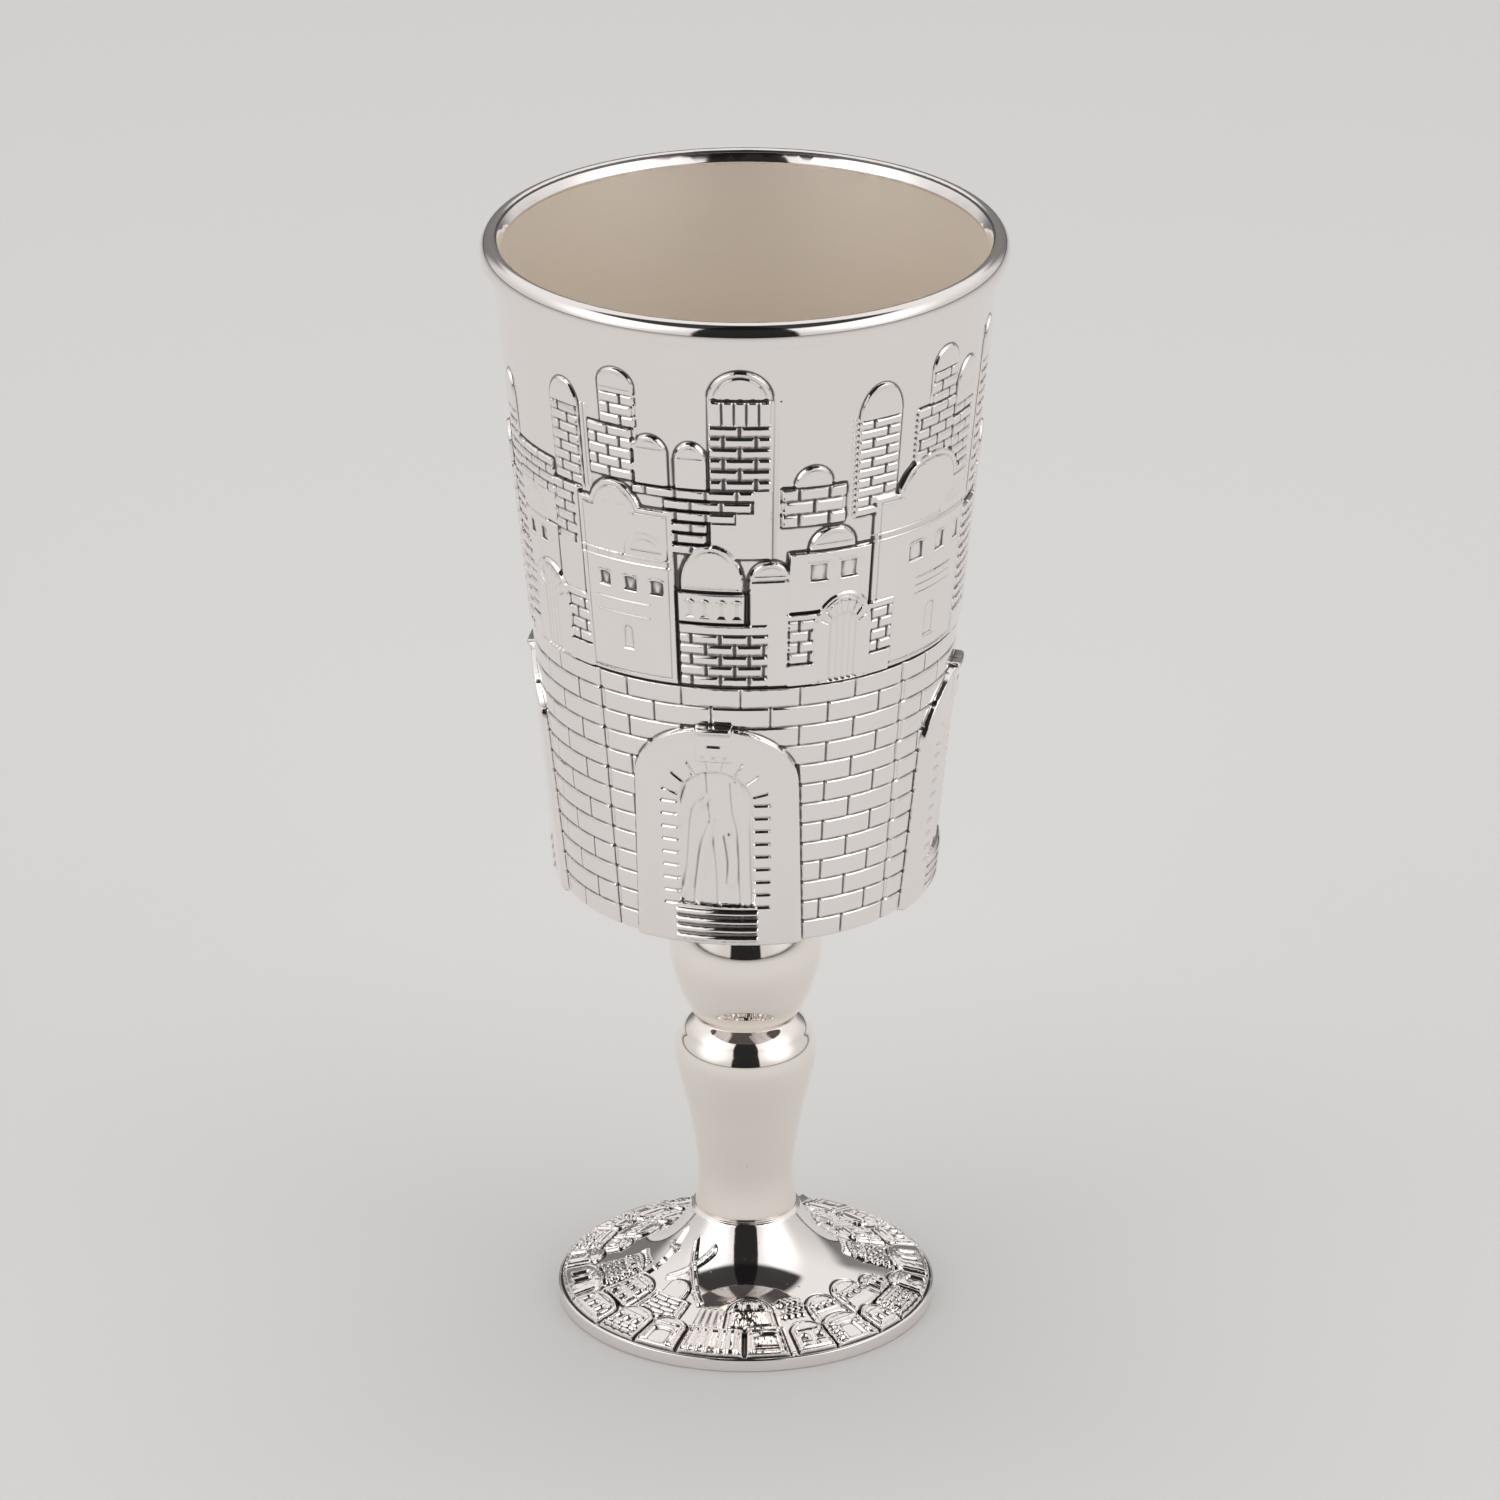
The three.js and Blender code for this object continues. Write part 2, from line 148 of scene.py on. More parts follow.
# City gates, as heights above the town wall's top
FIRST_GATE = -8.5
GATE_WIDTH = 21.0
GATE_SPRING = 22.7 - TOWN_WALL
GATE_CROWN = 30.7 - TOWN_WALL
GATE_DEPTH = 0.95
GATE_STEPS = 5.5 - TOWN_WALL
DOOR_WIDTH = 9.6
DOOR_SPRING = 19.8 - TOWN_WALL
DOOR_CROWN = 24.7 - TOWN_WALL
DOOR_DEPTH = 0.5
JAMB_WIDTH = 1.9
STEP_TREAD = 0.34
STEP_RISE = 1.22
KEYSTONE_WIDTH = 4.6
KEYSTONE_HEIGHT = 4.8
KEYSTONE_DEPTH = 0.45

# How the relief's lines are drawn: how far a shape's edge reaches past its outline, the sunk line round a
# raised shape and the raised line round a sunk one, as (distance out, half width), and the dots where brick
# joints cross, as (reach, depth)
MARGIN = 0.6
MOAT_LINE = (0.08, 0.2)
RIM_LINE = (0.15, 0.25)
BRICK_DOT = (0.34, 0.1)

# Where a place counts as on the cup's relief: this far inside the plain wall, and this far off it
RELIEF_ROOT = 0.4
RELIEF_REACH = 2.0

# How finely the relief is drawn before it is thinned
TOWN_COLUMNS = 1600
TOWN_ROWS = 814
CUP_FACES = 190000
HOUSE_ROWS = 192
FOOT_FACES = 190000

# Painted shade, with some tarnish, darkens the silver beside steps below this height of the relief, and in
# grooves, by a share of their depth
SHADE_TOP = 0.58
GROOVE_SHADE = 0.34

# The colour of the painted shade with tarnish, and the depths at which it starts and is full
SHADE_AND_TARNISH = (0.13, 0.12, 0.12, 1)
SHADE_DEPTHS = (0.03, 0.135)

# Roughness of the polished silver, at its brightest and its dullest, and the silver's tones
POLISH = (0.03, 0.09)
SILVER_LIGHT = (0.955, 0.91, 0.892, 1)
SILVER_DARK = (0.935, 0.888, 0.87, 1)
LIP_SILVER = (0.945, 0.9, 0.88, 1)
WARM_LIGHT = (0.985, 0.935, 0.885, 1)
WARM_DARK = (0.97, 0.915, 0.86, 1)


def lerp(a, b, share):
    return a + (b - a) * share


def spline(points, steps):
    """A Catmull-Rom curve through [radius, height] points, as three.js draws its SplineCurve."""
    points = np.array(points, float)
    last = len(points) - 1
    result = []
    for i in range(steps + 1):
        place = last * i / steps
        at = min(int(place), last)
        t = place - at
        p0, p1, p2, p3 = (points[min(max(at + k, 0), last)] for k in (-1, 0, 1, 2))
        v0 = (p2 - p0) / 2
        v1 = (p3 - p1) / 2
        cubic = (2 * p1 - 2 * p2 + v0 + v1) * t ** 3
        square = (-3 * p1 + 3 * p2 - 2 * v0 - v1) * t ** 2
        result.append(tuple(cubic + square + v0 * t + p1))
    return result


def placed(name, data):
    piece = bpy.data.objects.new(name, data)
    bpy.context.collection.objects.link(piece)
    return piece


def make_stem():
    waist_share, belly_share = 0.43, 0.62
    baluster = spline([
        (STEM_FOOT_RADIUS, STEM_EDGE_ROUND),
        WAIST,
        (lerp(WAIST[0], BELLY[0], waist_share), lerp(WAIST[1], BELLY[1], 0.5)),
        BELLY,
        (lerp(GROOVE[0], BELLY[0], belly_share), lerp(BELLY[1], GROOVE[1], 0.66)),
        GROOVE,
    ], 120)
    knop = spline([
        GROOVE,
        (lerp(GROOVE[0], KNOP[0], 0.7), lerp(GROOVE[1], KNOP[1], 0.43)),
        KNOP,
        (KNOP_TOP_RADIUS, CUP_FOOT - FOOT_TOP),
    ], 90)
    outline = np.array([(STEM_FOOT_RADIUS - STEM_EDGE_ROUND, 0), *baluster, *knop[1:]]) + (0, FOOT_TOP)
    mesh = turned_mesh("stem_turned", outline[:, :1], outline[:, 1:], STEM_COLUMNS)
    mesh.polygons.foreach_set("use_smooth", np.ones(len(mesh.polygons), bool))
    return placed("stem_turned", mesh)


def smooth(share):
    share = np.clip(share, 0, 1)
    return share * share * (3 - 2 * share)


class Sheet:
    """Heights of a relief above a turned surface, over the half turn that repeats.

    Columns run round the axis in degrees, rows up the surface in millimetres."""

    def __init__(self, columns, low, high, rows, radius_at):
        self.count = columns
        self.step = HALF_TURN / columns
        self.start = -HALF_TURN / 2
        self.heights = np.linspace(low, high, rows)
        self.lift = np.zeros((rows, columns))
        self.radius_at = radius_at

    def patch(self, bounds, margin):
        """The grid's places round a shape: where they are, their degrees and heights, and mm a degree."""
        left, right, low, high = bounds
        rows = np.flatnonzero((self.heights > low - margin) & (self.heights < high + margin))
        heights = self.heights[rows][:, None]
        scale = radians(1) * self.radius_at(heights)
        reach = margin / scale.min()
        first = int((left - reach - self.start) // self.step)
        last = int((right + reach - self.start) // self.step) + 2
        columns = np.arange(first, last)
        degrees = (self.start + columns * self.step)[None, :]
        return np.ix_(rows, columns % self.count), degrees, heights, scale

    def measured(self, shape, margin=MARGIN):
        """The grid's places round a shape, and how far inside its outline each of them lies."""
        bounds, inside = shape
        spot, *place = self.patch(bounds, margin)
        return spot, inside(*place)

    def raised(self, shape, height, bevel=0.3, moat=0.05):
        """Brings the inside of a shape to this height, with a fine sunk line round it."""
        spot, depth = self.measured(shape)
        lift = self.lift[spot] - moat * smooth(1 - np.abs(depth + MOAT_LINE[0]) / MOAT_LINE[1])
        self.lift[spot] = lift + (height - lift) * smooth(depth / bevel)

    def swollen(self, shape, height, reach):
        """Swells the inside of a shape, up to a full height at some way in."""
        spot, depth = self.measured(shape, 0.0)
        share = np.clip(depth / reach, 0, 1)
        self.lift[spot] += height * np.sin(share * np.pi / 2)

    def sunk(self, shape, depth, bevel=0.2, rim=0.0):
        """Sinks the inside of a shape, with a raised line round it if a rim is given."""
        spot, distance = self.measured(shape)
        line = rim * smooth(1 - np.abs(distance + RIM_LINE[0]) / RIM_LINE[1])
        self.lift[spot] += line - depth * smooth(distance / bevel)

    def contour(self, shape, inset, width, height):
        """A rounded ridge, or a groove if the height is negative, along the inside of a shape's outline."""
        spot, distance = self.measured(shape)
        self.lift[spot] += height * smooth(1 - np.abs(distance - inset) / width)

    def stroke(self, points, width, height):
        """A rounded ridge, or a groove if the height is negative, along a line through places."""
        across = [x for x, z in points]
        up = [z for x, z in points]
        bounds = (min(across), max(across), min(up), max(up))
        spot, degrees, heights, scale = self.patch(bounds, width * 1.5)
        nearest = np.full(np.broadcast(degrees, heights).shape, 1e9)
        for (x0, z0), (x1, z1) in zip(points, points[1:]):
            dx, dz = (x1 - x0) * scale, z1 - z0
            px, pz = (degrees - x0) * scale, heights - z0
            share = np.clip((px * dx + pz * dz) / (dx * dx + dz * dz + 1e-9), 0, 1)
            nearest = np.minimum(nearest, np.hypot(px - share * dx, pz - share * dz))
        self.lift[spot] += height * smooth(1 - nearest / width)

    def ledge(self, left, right, z, width, height):
        self.stroke([(left, z), (right, z)], width, height)

    def post(self, degree, low, high, width, height):
        self.stroke([(degree, low), (degree, high)], width, height)

    def bricks(self, shape, top, course, pitch, joint, cut=0.2, bevel=0.32, gap=0.05, upright_cut=1.35):
        """Cuts the joints of a brick wall: courses down from a height, and deeper joints a pitch apart in
        degrees, the first course's at one angle and every other course's half a pitch on."""
        bounds, inside = shape
        spot, degrees, heights, scale = self.patch(bounds, 0.0)
        down = (top - heights) / course
        bed = np.abs(down - np.round(down)) * course
        shift = joint + np.floor(down) % 2 * pitch / 2
        turn = (degrees - shift) / pitch
        upright = np.abs(turn - np.round(turn)) * pitch * scale
        sides = inside(degrees, heights, scale)
        grooves = 1 - smooth((np.array([bed + 0 * upright, upright]) - gap) / bevel)
        deepest = np.maximum(grooves[0], grooves[1] * upright_cut)
        crossing = smooth(1 - np.hypot(bed, upright) / BRICK_DOT[0])
        self.lift[spot] -= (cut * deepest + BRICK_DOT[1] * crossing) * smooth((sides + 0.1) / 0.15)

    def beads(self, degree, low, high, pitch, height=0.16, size=0.36):
        """A row of small drops, one above the other."""
        for z in np.arange(low, high, pitch):
            self.post(degree, z, z + 0.05, size, height)


def box(left, right, low, high):
    def inside(degrees, heights, scale):
        across = np.minimum(degrees - left, right - degrees) * scale
        return np.minimum(across, np.minimum(heights - low, high - heights))
    return (left, right, low, high), inside


def headed(across, half, heights, low, spring, crown):
    """How far inside a round-headed block each place lies, from shares of its half width, itself in mm."""
    up = np.maximum(heights - spring, 0) / (crown - spring)
    reach = np.hypot(across, up) + 1e-6
    slope = np.hypot(across / half, up / (crown - spring)) / reach
    return np.minimum((1 - reach) / (slope + 1e-3), heights - low)


def dome(left, right, low, spring, crown):
    """A block with a round head that springs at one height and crowns at another."""
    middle, half = (left + right) / 2, (right - left) / 2

    def inside(degrees, heights, scale):
        return headed((degrees - middle) / half, half * scale, heights, low, spring, crown)
    return (left, right, low, crown), inside


def joined(*shapes):
    """Several shapes as one outline."""
    edges = np.array([bounds for bounds, inside in shapes])

    def inside(degrees, heights, scale):
        depths = [part(degrees, heights, scale) for bounds, part in shapes]
        return np.maximum.reduce(np.broadcast_arrays(*depths))
    return (edges[:, 0].min(), edges[:, 1].max(), edges[:, 2].min(), edges[:, 3].max()), inside


def upright(middle, width, low, spring, crown):
    """A round-headed block whose width is the same in millimetres at every height."""
    half = width / 2

    def inside(degrees, heights, scale):
        return headed((degrees - middle) * scale / half, half, heights, low, spring, crown)
    side = np.degrees(half / TOWN_FOOT_RADIUS)
    return (middle - side, middle + side, low, crown), inside


def wall_radius(height):
    """The cup's outside radius at a height above the town wall's top."""
    return lerp(TOWN_FOOT_RADIUS, WALL_TOP_RADIUS, (height + TOWN_WALL) / (TOWN_WALL + SKY_BAND))


def voussoirs(town, middle, spring, near, far, turns, width, depth):
    """Joints fanned round a door's head, each from one [half width, rise] to another."""
    for turn in turns:
        x, z = sin(radians(turn)), cos(radians(turn))
        joint = [(middle + x * across, spring + z * rise) for across, rise in (near, far)]
        town.stroke(joint, width, -depth)


def town_wall(town, gate):
    """A quarter of the brick wall, its city gate and the steps below the gate."""
    left, right = gate - 34.0, gate + 56.0
    course = TOWN_WALL / 13
    town.raised(box(left, right, -TOWN_WALL - 1, 0), BRICK_DEPTH, bevel=0.25, moat=0)
    town.bricks(box(left, right, -TOWN_WALL - 1, 0), 0, course, 16, gate + 7.2, cut=0.17, bevel=0.28,
                upright_cut=1.2)
    for shift in (-0.6, 0.6):
        town.post(left + shift, -TOWN_WALL, 0, 0.3, -0.16)

    panel = upright(gate, GATE_WIDTH, -TOWN_WALL - 1, GATE_SPRING, GATE_CROWN)
    town.raised(panel, GATE_DEPTH, bevel=0.4, moat=0.06)
    town.contour(panel, 0.62, 0.22, -0.06)
    jamb = upright(gate, DOOR_WIDTH + 2 * JAMB_WIDTH, GATE_STEPS, DOOR_SPRING, DOOR_CROWN + JAMB_WIDTH)
    town.contour(jamb, 0.1, 0.2, -0.05)
    scale = radians(1) * wall_radius(DOOR_SPRING)
    inner, outer = DOOR_WIDTH / 2 / scale, (DOOR_WIDTH / 2 + JAMB_WIDTH) / scale
    for row in range(9):
        z = GATE_STEPS + row * 1.8
        for side in (-1, 1):
            town.ledge(gate + side * inner, gate + side * outer, z, 0.3, -0.22)
    rise = DOOR_CROWN - DOOR_SPRING
    turns = (-75, -52, -30, -10, 10, 30, 52, 75)
    voussoirs(town, gate, DOOR_SPRING, (inner, rise), (outer, rise + JAMB_WIDTH), turns, 0.26, 0.2)
    door = upright(gate, DOOR_WIDTH, GATE_STEPS - 1, DOOR_SPRING, DOOR_CROWN)
    town.sunk(door, DOOR_DEPTH, bevel=0.55)
    folds = [
        [(-6.3, -12.6), (-9.0, -16.8), (-10.5, -19.3)],
        [(-2.0, -15.1), (-5.5, -17.8), (-7.3, -25.3), (-9.0, -28.3), (-10.8, -29.5)],
        [(-0.5, -18.8), (-3.0, -22.3), (-4.5, -26.3), (-5.3, -30.0)],
        [(-1.0, -11.8), (-0.5, -16.3), (0.5, -20.3), (1.5, -25.3), (1.7, -30.0)],
        [(5.7, -13.3), (6.3, -17.3), (7.7, -20.3), (8.0, -25.3), (8.5, -30.1)],
        [(3.8, -20.8), (4.9, -24.3), (4.3, -27.3)],
    ]
    for fold in folds:
        line = spline([(gate + x, z) for x, z in fold], 14)
        town.stroke(line, 0.85, 0.2)
        town.stroke([(x - 1.4, z) for x, z in line], 0.5, -0.09)
    half = DOOR_WIDTH / 2 / (radians(1) * wall_radius(GATE_STEPS))
    block = upright(gate, DOOR_WIDTH + 0.2, -TOWN_WALL - 1, GATE_STEPS, GATE_STEPS + 0.01)
    town.raised(block, GATE_DEPTH, bevel=0.24, moat=0)
    for step in range(4):
        z = GATE_STEPS - 0.95 - step * STEP_RISE
        town.ledge(gate - half, gate + half, z, 0.56, STEP_TREAD)
        town.ledge(gate - half, gate + half, z + 0.56, 0.2, -0.1)
    foot = GATE_CROWN - KEYSTONE_HEIGHT
    keystone = upright(gate, KEYSTONE_WIDTH, foot, GATE_CROWN + 0.05, GATE_CROWN + 0.1)
    town.raised(keystone, GATE_DEPTH + 0.2, bevel=0.2)
    for scallop in (-3.0, 0.0, 3.0):
        town.post(gate + scallop, foot + 0.1, foot + 0.3, 0.75, 0.16)
    side = (KEYSTONE_WIDTH / 2 - 0.6) / scale
    head = GATE_CROWN - 0.5
    town.ledge(gate - side, gate + side, head, 0.75, KEYSTONE_DEPTH)
    slot = upright(gate, 1.9, GATE_CROWN - 2.8, GATE_CROWN - 2.41, GATE_CROWN - 2.4)
    town.sunk(slot, 0.3, bevel=0.2)


def tower(town, left, right, foot, spring, crown, bricks_top, pitch, joint, course=1.46):
    """A round-headed tower with brick courses below its head."""
    town.raised(dome(left, right, foot, spring, crown), FAR_DEPTH)
    town.contour(dome(left, right, spring - 1, spring, crown), 0.55, 0.2, -0.07)
    town.bricks(box(left + 0.4, right - 0.4, foot, bricks_top), bricks_top, course, pitch, joint)


def windows(town, places, low, high, head=0.4, depth=WINDOW_DEPTH, rim=0.1):
    for middle, width in places:
        opening = dome(middle - width / 2, middle + width / 2, low, high, high + head)
        town.sunk(opening, depth, bevel=0.28, rim=rim)


def far_town(town):
    """The towers behind, and the plain walls between them."""
    tower(town, -79, -71, 12, 31, 35, 30, 5, -75)
    tower(town, -52, -42.4, 24, 35.4, 38.8, 35.4, 6, -49.3, course=1.33)
    tower(town, -36, -26.3, 27, 39.9, 42.1, 38.7, 6.2, -30.1)
    tower(town, 27.5, 39.4, 22, 35.3, 39.8, 35.1, 8, 31.5, course=1.3)
    tower(town, 48.7, 58.5, 28, 39.2, 42, 38.9, 6, 55.5)
    tower(town, 59.3, 69.2, 24, 35.2, 38.7, 32.9, 6.4, 64, course=1.37)
    tower(town, 74, 82, 18, 37.5, 41.5, 36, 5, 78)
    town.beads(-26.2, 34.4, 39.5, 1.45)
    town.beads(-43, 26.5, 35, 1.33)
    for degree in (26.2, 27.2):
        town.beads(degree, 22.4, 35.4, 0.8)
    face = FAR_DEPTH + BLOCK_STEP
    town.raised(box(-71, -53, 17.7, 26.9), face)
    town.bricks(box(-71, -53, 22, 26.9), 26.9, 1.25, 7, -60)
    town.raised(box(-39.8, -27.3, 27, 34.3), face)
    town.bricks(box(-39.8, -27.3, 27, 34.3), 34.3, 1.44, 6.4, -34)
    for degree in (-41.6, -40.4):
        town.post(degree, 25.2, 36, 0.3, 0.22)
    town.raised(box(44.5, 58.8, 24.7, 34.7), face)
    town.bricks(box(45, 58.8, 27, 34.7), 34.6, 1.43, 6.2, 49)
    town.raised(box(58.4, 69, 24.7, 31.5), face)
    town.bricks(box(58.8, 69, 24.7, 31.5), 31.5, 1.4, 6.2, 62)
    town.beads(44.4, 28, 34.6, 0.8)
    highest = dome(-8.7, 6.3, 17.7, 39.5, 43.3)
    town.raised(highest, face)
    town.contour(dome(-8.7, 6.3, 38.5, 39.5, 43.3), 0.75, 0.35, -0.16)
    town.bricks(box(-8.3, 6, 27.1, 35.9), 35.9, 1.47, 7.7, -1.3, cut=0.26, bevel=0.42)
    town.bricks(box(-8.3, 6, 36.0, 39.6), 39.3, 3.4, 2.86, -8.3, cut=0.26, bevel=0.3, upright_cut=0.9)
    for degree in (6.3, 8.3):
        town.post(degree, 17.7, 39, 0.24, 0.16)


def middle_town(town):
    """The domed houses of the middle distance."""
    face = MIDDLE_DEPTH + BLOCK_STEP
    for left, right, foot, spring, crown in (
            (-27.4, -18.5, 26.9, 31.5, 33.9), (-17.2, -8.8, 26.9, 30.7, 33.5)):
        town.raised(dome(left, right, foot, spring, crown), MIDDLE_DEPTH, bevel=0.45)
        town.contour(dome(left, right, spring, spring, crown), 0.7, 0.25, -0.08)
    courses = ((-28, 2), (-20, 2), (-20, -2.3), (-20, -9), (-20, -9), (-19, -9))
    for row, (left, right) in enumerate(courses):
        top = 27.1 - 1.5 * row
        town.raised(box(left, right, top - 1.5, top), face, bevel=0.3, moat=0.03)
        town.bricks(box(left, right, top - 1.5, top), 27.1, 1.5, 7.5, -2, cut=0.24, bevel=0.38)
    town.raised(dome(11.8, 21.4, 27, 27.6, 30.1), MIDDLE_DEPTH, bevel=0.4)
    town.contour(dome(11.8, 21.4, 27, 27.6, 30.1), 0.5, 0.2, -0.08)
    town.raised(box(8.5, 25, 21.8, 27.3), face)
    town.bricks(box(8.5, 25, 21.8, 27.3), 27.3, 1.8, 7.5, 13, cut=0.24, bevel=0.36)
    town.beads(9.2, 22.4, 27.2, 1.7)

    town.raised(box(-53.4, -44, 0, 24.7), face)
    town.bricks(box(-53, -45.5, 16.5, 24.7), 24.7, 1.4, 6, -49.5)
    town.beads(-53.2, 17, 24.6, 1.4)
    great = joined(box(-44.5, -17.5, 0, 23.9), dome(-41.5, -25.2, 16, 21.5, 27.0))
    town.raised(great, face, bevel=0.35)
    town.contour(great, 0.85, 0.28, -0.12)
    for degree, low, high in (
            (-38.7, 16.9, 21.7), (-35.5, 16.9, 23.7), (-31.8, 16.9, 23.7), (-28.3, 19.7, 22.7)):
        for side in (-0.45, 0.45):
            town.post(degree + side, low, high, 0.24, 0.1)
    for z in (15.9, 16.9):
        town.ledge(-44, -18.6, z, 0.26, 0.16)
    windows(town, ((-37.3, 3.6), (-29.8, 3.9), (-22.5, 3.9)), 12.1, 13.7)
    for z in (8.6, 10.5):
        town.ledge(-39.7, -24.6, z, 0.3, 0.12)
    town.contour(box(-39.7, -24.6, 3.2, 10.5), 0.1, 0.2, 0.06)
    town.sunk(dome(-33.2, -29.4, 3.8, 6.4, 7.4), 0.2, bevel=0.4, rim=0.05)

    great = joined(box(33, 69.5, 0, 24.3), dome(39.5, 62.5, 18.8, 23.5, 28.4))
    town.raised(great, face, bevel=0.45)
    town.contour(great, 0.9, 0.28, -0.12)
    for z in (18.3, 19.2):
        town.ledge(33, 69.3, z, 0.26, 0.16)
    for degree in (41.3, 46.2, 51, 56):
        town.post(degree, 19.6, 24, 0.24, 0.1)
    windows(town, ((47.5, 5.6), (57, 4.6), (65.4, 4.2)), 13.9, 16.1)
    for z in (9.2, 10.3, 11.4):
        town.ledge(48, 63, z, 0.26, 0.1)
    town.contour(box(48, 63, 0, 11.4), 0.1, 0.2, 0.06)
    town.sunk(dome(53, 58, 2.5, 6.5, 7.4), 0.2, bevel=0.4, rim=0.05)

    left_house = dome(-69.5, -57.3, 12, 18.6, 21.9)
    town.raised(left_house, MIDDLE_DEPTH, bevel=0.4)
    town.contour(left_house, 0.6, 0.22, -0.08)
    town.raised(box(-70.5, -53.2, 9, 17.9), face)
    windows(town, ((-66, 3.6), (-60, 3.6)), 14.6, 16.2)
    town.raised(box(69, 82, 0, 17.5), face)
    town.bricks(box(69, 82, 3, 17.5), 17.5, 1.4, 6, 74)
    town.raised(box(-79, -69, 0, 13), face)
    town.bricks(box(-79, -69, 0, 13), 13, 1.5, 6, -74)
    town.raised(box(84, 98, 0, 20.5), face)
    town.bricks(box(84, 98, 0, 20.5), 20.5, 1.5, 7, 91)


def near_town(town):
    """The nearest houses and the small gates."""
    face = NEAR_DEPTH + BLOCK_STEP
    for left, right, foot, spring, crown in (
            (-30.7, -19.5, 16.8, 17.3, 20.4), (55.5, 69.5, 18.9, 19.5, 22.2), (15.7, 28.4, 18.3, 18.8, 21.7),
            (0.6, 11.8, 0, 14.9, 17.6), (84.5, 95.5, 20, 21.5, 25.5)):
        town.raised(dome(left, right, foot, spring, crown), NEAR_DEPTH, bevel=0.5)
        town.contour(dome(left, right, spring, spring, crown), 0.75, 0.25, -0.08)
    town.ledge(0.6, 11.6, 14.9, 0.3, -0.14)
    town.raised(box(10.6, 32.7, 10.2, 18.5), face)
    town.ledge(12.4, 32.4, 18.3, 0.28, 0.1)
    for middle, width in ((18.4, 5), (26.4, 5)):
        opening = box(middle - width / 2, middle + width / 2, 14.4, 16.8)
        town.sunk(opening, WINDOW_DEPTH, bevel=0.3, rim=0.1)

    central = dome(-16.8, -0.1, 13, 14.2, 19.8)
    town.raised(central, NEAR_DEPTH, bevel=0.6)
    town.contour(central, 0.85, 0.3, -0.1)
    town.raised(box(-17.3, 0.2, 8.9, 13.2), face, bevel=0.3)
    town.ledge(-17.2, 0.2, 13.1, 0.3, -0.16)
    windows(town, ((-13.9, 2.2), (-10.2, 2.2), (-5.9, 2.2), (-2.1, 2.2)), 9.8, 11.2, head=0.8,
            depth=0.13, rim=0.13)
    town.raised(box(-17.3, 5.6, 0.1, 8.9), face, bevel=0.35)
    town.ledge(-17, 5.5, 8.6, 0.32, 0.06)
    town.bricks(box(-17.2, 5.6, 0.1, 7.5), 7.5, 1.46, 7.5, -6.5, cut=0.26, bevel=0.38)

    for middle, door_width in ((25.6, 8.8), (-58.5, 8.2)):
        left, right = middle - 15, middle + 15
        town.raised(box(left, right, 0, 10.1), face)
        for low, high in ((left + 0.2, middle - 5), (middle + 5, right - 0.2)):
            town.bricks(box(low, high, 3, 9.2), 9.2, 1.52, 5.4, low + 3, cut=0.22, bevel=0.32)
            town.beads(low + 0.2, 3.6, 9.2, 1.5)
        town.ledge(left, right, 10, 0.26, 0.1)
        town.ledge(left, right, 3.1, 0.24, -0.12)
        spring = 7.6
        gate = dome(middle - 8.3, middle + 8.3, 0, spring, 12.5)
        town.raised(gate, SMALL_GATE_DEPTH, bevel=0.4, moat=0.06)
        town.contour(gate, 0.55, 0.2, -0.12)
        arch = 6.6
        town.contour(dome(middle - arch, middle + arch, 0, spring, 11.4), 0.0, 0.2, -0.1)
        half = door_width / 2
        turns = (-70, -48, -28, -9, 9, 28, 48, 70)
        voussoirs(town, middle, spring, (half, 2.2), (arch, 3.8), turns, 0.22, 0.18)
        door = dome(middle - half, middle + half, 0.2, spring, 9.8)
        town.sunk(door, 0.3, bevel=0.35)
        for plank in (-0.6, -0.2, 0.2, 0.6):
            degree = middle + plank * half
            top = spring + 1.6 * (1 - plank * plank)
            town.post(degree, 0.3, top, 0.32, 0.12)


def make_town():
    town = Sheet(TOWN_COLUMNS // 2, -TOWN_WALL, SKY_BAND, TOWN_ROWS, wall_radius)
    for gate in (FIRST_GATE, FIRST_GATE + 90):
        town_wall(town, gate)
    far_town(town)
    middle_town(town)
    near_town(town)
    return town


def tiled(lift):
    """The whole turn, from the half that repeats."""
    return np.concatenate([lift, lift], axis=1)


def turned_mesh(name, radii, heights, columns):
    """A closed mesh from radii and heights, rows by columns, with a point on the axis at each end."""
    rows = radii.shape[0]
    angles = np.radians(-HALF_TURN / 2 + 360 / columns * np.arange(columns))
    corners = np.empty((rows, columns, 3))
    corners[..., 0] = radii * np.sin(angles)
    corners[..., 1] = -radii * np.cos(angles)
    corners[..., 2] = heights
    ends = np.array([[0, 0, heights[0].mean()], [0, 0, heights[-1].mean()]])
    corners = np.concatenate([corners.reshape(-1, 3), ends]) * MM
    at = np.arange(columns)
    after = (at + 1) % columns
    start = (np.arange(rows - 1) * columns)[:, None]
    above = start + columns
    quads = np.stack([start + at, start + after, above + after, above + at], -1).reshape(-1, 4)
    foot = np.stack([np.full(columns, rows * columns), after, at], -1)
    last = (rows - 1) * columns
    top = np.stack([np.full(columns, rows * columns + 1), last + at, last + after], -1)
    mesh = bpy.data.meshes.new(name)
    loops = np.concatenate([quads.ravel(), foot.ravel(), top.ravel()])
    sizes = np.concatenate([np.full(len(quads), 4), np.full(2 * columns, 3)])
    mesh.vertices.add(len(corners))
    mesh.vertices.foreach_set("co", corners.astype(np.float32).ravel())
    mesh.loops.add(len(loops))
    mesh.loops.foreach_set("vertex_index", loops.astype(np.int32))
    mesh.polygons.add(len(sizes))
    mesh.polygons.foreach_set("loop_start", np.concatenate([[0], np.cumsum(sizes)[:-1]]).astype(np.int32))
    mesh.update(calc_edges=True)
    return mesh


